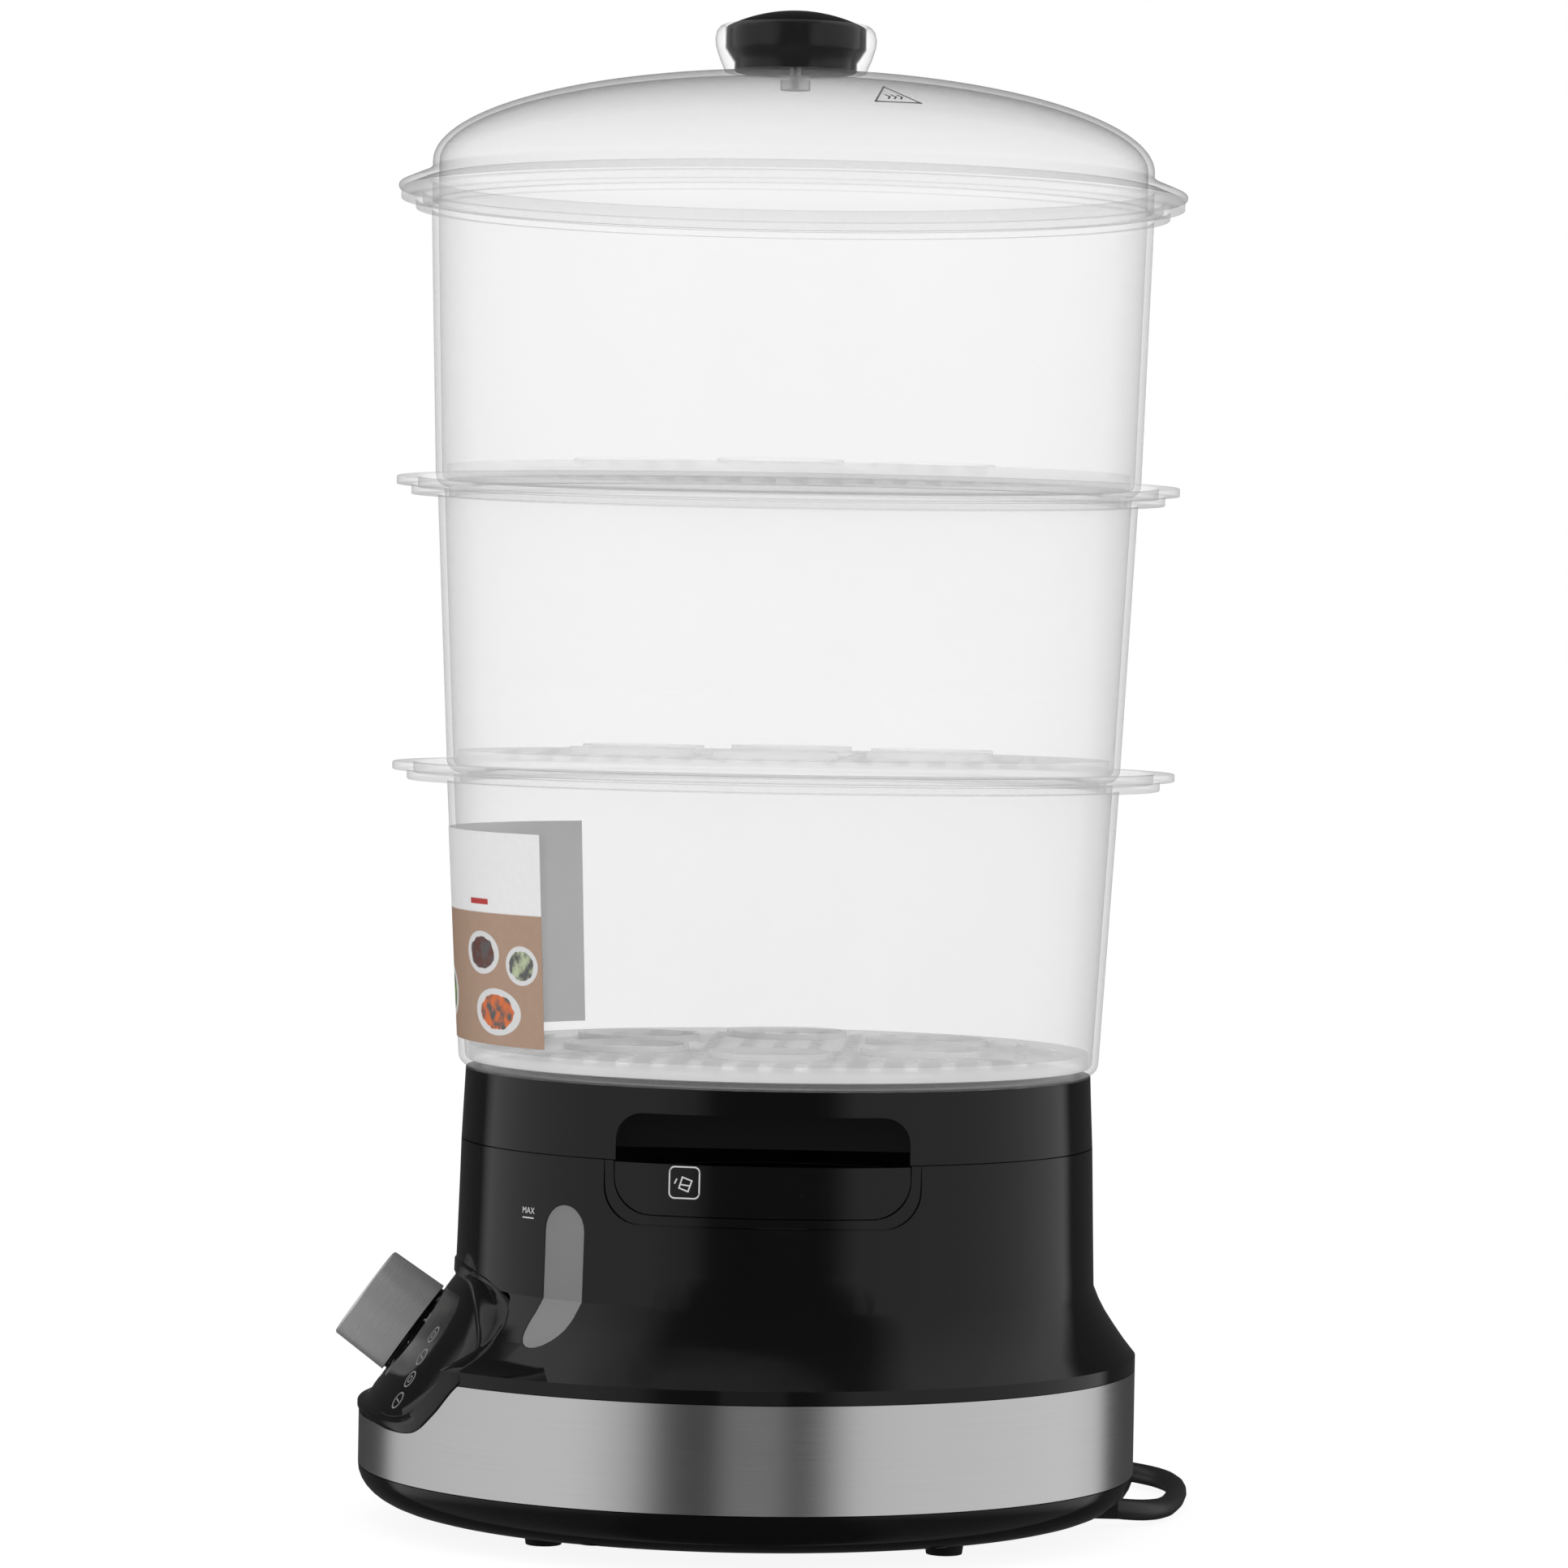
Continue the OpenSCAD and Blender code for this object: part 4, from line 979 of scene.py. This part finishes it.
def ringsOfPanel():
    # closed rings of (across, depth, height) from the hole over face, shoulder and skirt
    # to the back
    between = panel["between"]
    edge, level, limit = (
        throughPoints(panel[key], between) for key in ("edge", "level", "limit")
    )
    rise = math.sin(timer["tilt"])
    middle = timer["centre"][2]
    hole = []
    for p in edge:
        away = Vector((p.x, (p.y - middle) / rise)).normalized() * panel["hole"]
        hole.append(Vector((away.x, middle + away.y * rise)))
    rings = []

    def addRing(points, fronts):
        rings.append([(p.x, y, p.y) for p, y in zip(points, fronts)])

    def onFace(share, lift=0.0):
        points = [start.lerp(end, share) for start, end in zip(hole, edge)]
        addRing(points, [faceFront(p.x, p.y) + lift for p in points])

    for i in range(panel["faceRings"]):
        onFace(i / panel["faceRings"] * panel["faceShare"])
    for share, lift in panel["bead"]:
        onFace(share, lift)
    steps = panel["shoulderRings"]
    edgeProud, levelProud = panel["proud"]
    for i in range(steps + 1):
        turn = math.radians(90 * i / steps)
        plain = i / steps
        points, fronts = [], []
        for start, end in zip(edge, level):
            front = faceFront(start.x, start.y) - edgeProud
            back = bodyFront(end.x, end.y) - levelProud
            rounded = min(1, max(0, (back - front) / panel["shoulderDeep"]))
            out = plain + (math.sin(turn) - plain) * rounded
            sink = plain * plain * (3 - 2 * plain)
            sink += (1 - math.cos(turn) - sink) * rounded
            points.append(start.lerp(end, out))
            fronts.append(front + (back - front) * sink)
        addRing(points, fronts)
    for share, proud in panel["skirt"]:
        points = [start.lerp(end, share) for start, end in zip(level, limit)]
        addRing(points, [bodyFront(p.x, p.y) - proud for p in points])
    inner = [start.lerp(end, panel["inner"]) for start, end in zip(edge, level)]
    fronts = [max(bodyFront(p.x, p.y), faceFront(p.x, p.y)) for p in inner]
    addRing(inner, [front + panel["behind"] for front in fronts])
    for share in panel["backShares"]:
        onFace(share, panel["thick"])
    return rings


def makePanel():
    bm = bmesh.new()
    loops = []
    for ring in ringsOfPanel():
        loops.append([bm.verts.new([v * mm for v in point]) for point in ring])
    loops.append(loops[0])
    count = len(loops[0])
    for before, after in zip(loops, loops[1:]):
        for i in range(count):
            k = (i + 1) % count
            bm.faces.new((before[i], before[k], after[k], after[i]))
    seat = turned(panel["seat"], 64, 0.15, 2)
    onPanel(seat)
    joinInto(bm, seat)
    for side in (-1, 1):
        post = turned(panel["post"], 24)
        bmesh.ops.translate(post, verts=post.verts, vec=(side * panel["posts"] * mm, 0, 0))
        onPanel(post)
        joinInto(bm, post)
    bmesh.ops.recalc_face_normals(bm, faces=bm.faces)
    return newPiece(
        "controlPanel", bm, "glossBlack", "base", ("control_panel",), 45
    )


def onPanel(bm):
    placed(bm, timer["tilt"], "X", [v * mm for v in timer["centre"]])


makePanel()
print("base dressed")


bowls = {
    "lower": {"low": 98.6, "high": 103.4, "foot": 93.3},
    "middle": {"low": 103.6, "high": 107.6, "foot": 99.4},
    "upper": {"low": 108.4, "high": 110.9, "foot": 104.2},
}
bowlShape = {
    "wall": 2.0, "corner": 4.0, "ledge": 12, "shelf": 115.8, "flange": 120.3,
    "flangeThick": 2.5, "shelfDrop": 3.5, "footDeep": 3.0, "soften": 0.55,
}


def makeBowl(name, size):
    node = name + "_bowl"
    low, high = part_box(node)
    bottom, top = low.z / mm, high.z / mm
    z = bottom + bowlShape["footDeep"]
    shelf = top - bowlShape["shelfDrop"]
    under = top - bowlShape["flangeThick"]
    wall, corner = bowlShape["wall"], bowlShape["corner"]
    narrow, wide, foot = size["low"], size["high"], size["foot"]
    step, flange = bowlShape["shelf"], bowlShape["flange"]
    inside = narrow - bowlShape["ledge"]
    centre = (narrow - corner, z + corner)
    profile = [
        (inside, z), (foot - wall, z), (foot - wall, bottom), (foot, bottom), (foot, z),
    ]
    profile += arcPoints(centre, corner, corner, -90, 0, 6)
    profile += [
        (wide, shelf - wall), (step, shelf - wall), (step, under), (flange, under),
        (flange, top), (step - wall, top), (step - wall, shelf), (wide - wall, shelf),
    ]
    profile += arcPoints(centre, corner - wall, corner - wall, 0, -90, 6)
    profile += [(inside, z + wall)]
    bm = onStack(turned(profile, 180, bowlShape["soften"], 3))
    return newPiece(name + "Bowl", bm, "clearBowl", node, (node,), 40)


for bowlName, bowlSize in bowls.items():
    makeBowl(bowlName, bowlSize)
    refined(
        bowlName + "_floor", bowlName + "Floor", "clearFloor", bowlName + "_floor",
        0.0,
    )

lid = {
    "radius": 110.8, "dome": 29, "wallHigh": 9, "flange": 121.2, "thick": 2.0,
    "soften": 0.45,
}


def makeLid():
    low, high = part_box("lid")
    rim, top = low.z / mm, high.z / mm
    spring = top - lid["dome"]
    seat = spring - lid["wallHigh"]
    radius, thick, flange = lid["radius"], lid["thick"], lid["flange"]
    profile = arcPoints((0, spring), radius, lid["dome"], 90, 0, 40)
    # down over the sloping flange, back under it and down to the rim
    profile += [
        (radius, seat + 7), (radius + 2, seat + 5.6), (flange - 0.6, seat + 2.4),
        (flange, seat + 1.6), (flange - 0.4, seat + 0.3), (radius + 2.6, seat + 3.4),
        (radius, seat + 3.6), (radius, rim), (radius - thick, rim),
    ]
    profile += arcPoints((0, spring), radius - thick, lid["dome"] - thick, 0, 90, 40)
    bm = onStack(turned(profile, 200, lid["soften"], 3, closed=False))
    return newPiece("lidDome", bm, "clearLid", "lid", ("lid",), 40)


lidPiece = makeLid()
refined("lid_knob_core", "lidKnobCore", "glossBlack", "lid", 0.5, 3)
refined("lid_knob_shell", "lidKnobShell", "clearKnob", "lid", 0.25, 2)
print("bowls and lid made")


def makeLabel():
    # a thin card wrapped on the front of the lowest bowl
    size = bowls["lower"]
    low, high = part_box("lower_bowl")
    foot = low.z / mm + bowlShape["footDeep"] + bowlShape["corner"]
    shelf = high.z / mm - bowlShape["shelfDrop"]
    heading = math.radians(label["middle"] - label["wide"] / 2)
    bm = bmesh.new()
    verts = []
    for i in range(label["rows"] + 1):
        z = label["low"] + (label["high"] - label["low"]) * i / label["rows"]
        radius = size["low"] + (size["high"] - size["low"]) * (z - foot) / (shelf - foot)
        radius += label["gap"]
        place = Vector((radius * math.cos(heading), radius * math.sin(heading), z))
        verts.append(bm.verts.new(place * mm))
    for start, end in zip(verts, verts[1:]):
        bm.edges.new((start, end))
    bmesh.ops.spin(
        bm, geom=bm.verts[:] + bm.edges[:], cent=(0, 0, 0), axis=(0, 0, 1), dvec=(0, 0, 0),
        angle=math.radians(label["wide"]), steps=label["columns"],
    )
    bmesh.ops.recalc_face_normals(bm, faces=bm.faces)
    bmesh.ops.solidify(bm, geom=bm.faces[:], thickness=-label["thick"] * mm)
    bmesh.ops.recalc_face_normals(bm, faces=bm.faces)
    onStack(bm)
    card = newPiece("bowlLabel", bm, "labelPaper", "lower_bowl", (), 40)
    card.data.materials.append(finishes["paperBack"])
    for polygon in card.data.polygons:
        away = polygon.center - stackAxis
        away.z = 0
        if polygon.normal.dot(away.normalized()) < -0.5:
            polygon.material_index = 1
    return card


makeLabel()


def write(bm, words, size, thick, place):
    # sets words in a drawing, centred on a place
    text = bpy.data.curves.new("words", "FONT")
    text.body = words
    text.size = size * mm
    text.align_x = "CENTER"
    text.align_y = "CENTER"
    text.extrude = thick / 2 * mm
    holder = bpy.data.objects.new("words", text)
    scene.collection.objects.link(holder)
    mesh = bpy.data.meshes.new_from_object(
        holder.evaluated_get(bpy.context.evaluated_depsgraph_get())
    )
    bpy.data.objects.remove(holder)
    mesh.transform(Matrix.Translation(place))
    bm.from_mesh(mesh)
    bpy.data.meshes.remove(mesh)


printLift = Vector((0, 0, 0.02 * mm))  # keeps a print just off what it lies on


def stroke(bm, start, end, wide=0.5, thick=0.16):
    # a flat bar from one point of a drawing to another
    start, end = Vector(start) * mm, Vector(end) * mm
    along = end - start
    bar = bmesh.ops.create_cube(bm, size=1.0)["verts"]
    bmesh.ops.scale(bm, vec=(along.length + wide * mm, wide * mm, thick * mm), verts=bar)
    turn = Matrix.Rotation(math.atan2(along.y, along.x), 3, "Z")
    bmesh.ops.rotate(bm, cent=(0, 0, 0), matrix=turn, verts=bar)
    bmesh.ops.translate(bm, vec=((start + end) / 2).to_3d() + printLift, verts=bar)


def strokes(bm, points, wide, thick):
    for start, end in zip(points, points[1:]):
        stroke(bm, start, end, wide, thick)


def roundMark(bm, centre, radius, wide=0.5):
    inner = radius - wide
    mark = turned([(inner, -0.06), (radius, -0.06), (radius, 0.1), (inner, 0.1)], 24)
    bmesh.ops.translate(mark, verts=mark.verts, vec=(centre[0] * mm, centre[1] * mm, 0))
    joinInto(bm, mark)


def bentOnFace(bm):
    # lays a flat drawing, made round the timer's axis, on the panel's curved face
    radius = timer["faceRadius"] * mm
    for vert in bm.verts:
        x, y, z = vert.co
        angle, reach = x / radius, radius + z
        vert.co = (reach * math.sin(angle), y, reach * math.cos(angle) - radius)
    onPanel(bm)


def castOn(bm, target, place, above=30):
    # lays a flat drawing on another piece, straight down onto it from the drawing's plane
    mesh = target.data
    tree = BVHTree.FromPolygons(
        [v.co for v in mesh.vertices], [p.vertices for p in mesh.polygons]
    )
    away = place.col[2].to_3d().normalized()
    for vert in bm.verts:
        lift = vert.co.z
        start = place @ Vector((vert.co.x, vert.co.y, above * mm))
        hit = tree.ray_cast(start, -away)[0] or tree.find_nearest(start)[0]
        vert.co = hit + away * lift


def outward(heading, radius, height):
    # a drawing's plane upright on a round wall of the stack, facing out
    angle = math.radians(heading)
    away = Vector((math.cos(angle), math.sin(angle), 0))
    across = Vector((-math.sin(angle), math.cos(angle), 0))
    turn = Matrix((across, (0, 0, 1), away)).transposed().to_4x4()
    middle = away * radius * mm + stackAxis + Vector((0, 0, height * mm))
    return Matrix.Translation(middle) @ turn


levelPrint = {
    "words": "MAX", "size": 2.7, "up": 1.2, "line": [(-2.4, -0.9), (2.4, -0.9)],
    "wide": 0.4, "thick": 0.12,
    "where": (-46.4, 99, 99.3),  # direction in degrees, distance and height in mm
}


def makeLevelMark():
    # the level mark beside the window
    bm = bmesh.new()
    want = levelPrint
    write(bm, want["words"], want["size"], want["thick"], (0, want["up"] * mm, 0))
    strokes(bm, want["line"], want["wide"], want["thick"])
    bmesh.ops.remove_doubles(bm, verts=bm.verts, dist=weld)
    castOn(bm, housing, outward(*want["where"]))
    newPiece("levelMark", bm, "printLight", "base", (), 30)


fillPrint = {
    "side": 4.6, "corner": 1.6, "wide": 0.42, "thick": 0.12,
    "lines": [
        [(-0.6, 1.6), (2.3, 0.6), (1.2, -2.6), (-1.6, -1.6), (-0.6, 1.6)],
        [(-2.9, -0.2), (-2.4, 0.9)],
        [(-0.9, -0.6), (1.6, -0.9)],
    ],
    "where": (-13.4, 100, 112.2),
}


def makeFillMark():
    # where to pour: a jug in a square with round corners
    bm = bmesh.new()
    side, corner = fillPrint["side"], fillPrint["corner"]
    wide, thick = fillPrint["wide"], fillPrint["thick"]
    inner = side - corner
    for turn in range(4):
        spin = Matrix.Rotation(math.radians(90 * turn), 2)
        line = [(side, -inner)] + arcPoints((inner, inner), corner, corner, 0, 90, 5)
        strokes(bm, [spin @ Vector(p) for p in line], wide, thick)
    for line in fillPrint["lines"]:
        strokes(bm, line, wide, thick)
    castOn(bm, lipRight, outward(*fillPrint["where"]))
    newPiece("fillMark", bm, "printLight", "base", (), 30)


hotPrint = {
    "outline": [(-7, -5.4), (7, -5.4), (0, 6.6), (-7, -5.4)],
    "wide": 0.6,
    "wave": [(-0.5, -3.4), (0.5, -2), (-0.5, -0.6)],
    "waves": (-1.9, 0, 1.9),
    "waveWide": 0.45,
    "thick": 0.12,
    "heading": 20.5,
    "lean": 1.0,  # rad that its plane leans out from level
    "reach": 92,
    "height": 432,
}


def makeHotMark():
    # hot surface: a triangle with three rising strokes, on the dome
    bm = bmesh.new()
    want = hotPrint
    strokes(bm, want["outline"], want["wide"], want["thick"])
    for x in want["waves"]:
        wave = [(x + across, up) for across, up in want["wave"]]
        strokes(bm, wave, want["waveWide"], want["thick"])
    heading = math.radians(want["heading"])
    away = Vector((math.cos(heading), math.sin(heading), 0))
    across = Vector((-away.y, away.x, 0))
    up = Vector((0, 0, 1)) * math.cos(want["lean"]) + away * math.sin(want["lean"])
    turn = Matrix((across, up.cross(across), up)).transposed().to_4x4()
    top = away * want["reach"] * mm + stackAxis + Vector((0, 0, want["height"] * mm))
    castOn(bm, lidPiece, Matrix.Translation(top) @ turn)
    newPiece("hotMark", bm, "printDark", "lid", (), 30)


dial = {
    "first": 120,  # direction of 0 on the face, in degrees
    "turn": 300,
    "numbers": 24.5,
    "size": 4.4,
    "thick": 0.16,
    "ticks": (18.6, 21.2),  # a long tick's inner and outer radius
    "shorter": 1.1,
    "fine": 0.45,
    # plain round marks for kinds of food, beside the scale: place on the face
    "marks": [(44.5, 8.5), (48.5, 1.5), (52, -5.5), (54.5, -12.5)],
    "markRadius": 2.9,
    "dotRadius": 1.3,
    "barHalf": 1.4,
}


def makeDial():
    bm = bmesh.new()
    inner, outer = dial["ticks"]
    for minutes in range(0, 61, 5):
        angle = math.radians(dial["first"] - dial["turn"] * minutes / 60)
        way = Vector((math.cos(angle), math.sin(angle)))
        full = minutes % 10 == 0
        reach = outer if full else outer - dial["shorter"]
        stroke(bm, way * inner, way * reach, dial["fine"])
        if full:
            where = way.to_3d() * dial["numbers"] * mm + printLift
            write(bm, str(minutes), dial["size"], dial["thick"], where)
    half = dial["barHalf"]
    for side in (-1, 1):
        for i, (x, y) in enumerate(dial["marks"]):
            roundMark(bm, (side * x, y), dial["markRadius"])
            if i % 2:
                stroke(bm, (side * x - half, y), (side * x + half, y), dial["fine"])
            else:
                roundMark(bm, (side * x, y), dial["dotRadius"], 0.4)
    bmesh.ops.remove_doubles(bm, verts=bm.verts, dist=weld)
    bentOnFace(bm)
    newPiece("dialPrint", bm, "printGrey", "base", (), 30)


makeLevelMark()
makeFillMark()
makeHotMark()
makeDial()
print("dial printed")


insideFinishes = {
    "cover_screws": "plainSteel", "timer_case": "zincPlate", "timer_plate": "plainSteel",
    "timer_bell": "plainSteel", "timer_screws": "plainSteel", "timer_shaft": "plainSteel",
    "water_tank": "tankPlastic", "tank_gasket": "siliconeGrey",
    "heating_plate": "plainSteel", "heating_element": "elementSheath",
    "element_bracket": "zincPlate", "thermostat": "ceramicBody",
    "thermal_fuse": "drawnBrass", "terminal_block": "ceramicBody", "wiring": "wireRed",
    "steam_ring": "satinBlack", "lid_knob_screw": "plainSteel", "plug_pins": "pinNickel",
}
for nodeName, finishName in insideFinishes.items():
    dress(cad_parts[nodeName], finishName)
print("inside dressed")


studio = {
    "ambient": 0.82,
    "floorSize": 30,
    # what polished faces mirror, by direction in degrees from +X: dark cards stand
    # behind the camera and at the sides, soft boxes between them
    "mirrored": [
        (-180, 0.05), (-132, 0.06), (-123, 0.7), (-80, 0.8), (-42, 0.85), (-27, 0.6),
        (-19, 0.09), (-8, 0.05), (16, 0.06), (21, 0.12), (31, 0.8), (105, 0.9), (130, 0.8),
        (137, 0.07), (180, 0.05),
    ],
    # leans the stripes so that they stand upright in sloping faces: how much, and over
    # which x of the ray's direction this sets in
    "upright": 0.9, "uprightFrom": (-0.65, -0.35),
    # a pale strip low down that only the band mirrors: its share and level, and where it
    # starts and ends, round about in radians and in the z of the ray's direction
    "strip": 0.42, "stripLevel": 0.9,
    "stripAround": ((-0.09, -0.06), (0.2, 0.25)), "stripUp": ((-0.26, -0.2), (-0.1, -0.06)),
    # what is mirrored from far down: level, share, and from which fall on
    "low": 0.04, "lowShare": 0.8, "lowFrom": (0.25, 0.5),
    "floorGlow": 1.07,
    "floorShare": 0.85,  # of the glow in what the camera sees; the rest takes the shadow
    "floorTone": 0.8,
    "floorDrop": 0.2 * mm,
}


def makeStudio():
    world = bpy.data.worlds.new("studio")
    world.use_nodes = True
    scene.world = world
    nodes = Nodes(world.node_tree)
    x, y, z = nodes.split(nodes.add("TexCoord", out=0))
    level = z.math("ABSOLUTE") * x.step(*studio["uprightFrom"]) * studio["upright"]
    bearing = y.math("ARCTAN2", x + level)
    stops = [((a + 180) / 360, grey(v)) for a, v in studio["mirrored"]]
    angle = bearing / (2 * math.pi) + 0.5
    mirrored = nodes.add("ValToRGB", {"stops": stops}, {"Fac": angle})
    strip = 1
    for where, (start, end) in ((bearing, studio["stripAround"]), (z, studio["stripUp"])):
        strip = where.step(*start) * (1 - where.step(*end)) * strip
    mirrored = nodes.mix(strip * studio["strip"], mirrored, grey(studio["stripLevel"]))
    far = (z * -1).step(*studio["lowFrom"]) * studio["lowShare"]
    mirrored = nodes.mix(far, mirrored, grey(studio["low"]))
    camera, glossy, through = nodes.rays("Camera", "Glossy", "Transmission")
    colour = nodes.mix(glossy, grey(studio["ambient"]), mirrored)
    colour = nodes.mix(camera.math("MAXIMUM", through), colour, grey(1.0))
    back = nodes.add("Background", None, {"Color": colour, "Strength": 1.0})
    nodes.add("OutputWorld", None, {"Surface": back})


def makeFloor():
    bm = bmesh.new()
    bmesh.ops.create_grid(bm, x_segments=1, y_segments=1, size=studio["floorSize"])
    mesh = bpy.data.meshes.new("studioFloor")
    bm.to_mesh(mesh)
    bm.free()
    floor = bpy.data.objects.new("studioFloor", mesh)
    scene.collection.objects.link(floor)
    floor.location.z = -studio["floorDrop"]
    nodes = finish("floorWhite")
    diffuse = nodes.add("BsdfDiffuse", None, {"Color": grey(studio["floorTone"])})
    light = {"Color": grey(1.0), "Strength": studio["floorGlow"]}
    glow = nodes.add("Emission", None, light)
    clear = nodes.add("BsdfTransparent")
    camera, glossy, through = nodes.rays("Camera", "Glossy", "Transmission")
    share = camera.math("MAXIMUM", through) * studio["floorShare"]
    shown = nodes.add("MixShader", None, {0: share, 1: diffuse, 2: glow})
    mirroring = nodes.add("MixShader", None, {0: glossy, 1: shown, 2: clear})
    nodes.add("OutputMaterial", None, {"Surface": mirroring})
    dress(floor, "floorWhite")


# place and size in metres, power in watts; all aim at the middle of the base's height
lamps = {
    "topBox": {"place": (0.5, -0.3, 1.9), "size": 1.6, "power": 9},
    "leftBox": {"place": (1.3, -1.5, 0.9), "size": 1.1, "power": 7},
    "rightBox": {"place": (1.2, 1.6, 0.9), "size": 1.1, "power": 7},
}


def makeLamps():
    for name, want in lamps.items():
        data = bpy.data.lights.new(name, "AREA")
        data.shape = "SQUARE"
        data.size = want["size"]
        data.energy = want["power"]
        lamp = bpy.data.objects.new(name, data)
        scene.collection.objects.link(lamp)
        place = Vector(want["place"])
        aim = (Vector((0, 0, 0.2)) - place).to_track_quat("-Z", "Y")
        lamp.matrix_world = Matrix.Translation(place) @ aim.to_matrix().to_4x4()
        lamp.visible_glossy = False
        lamp.visible_camera = False


makeStudio()
makeFloor()
makeLamps()
scene.view_settings.view_transform = "Standard"
print("studio lit")
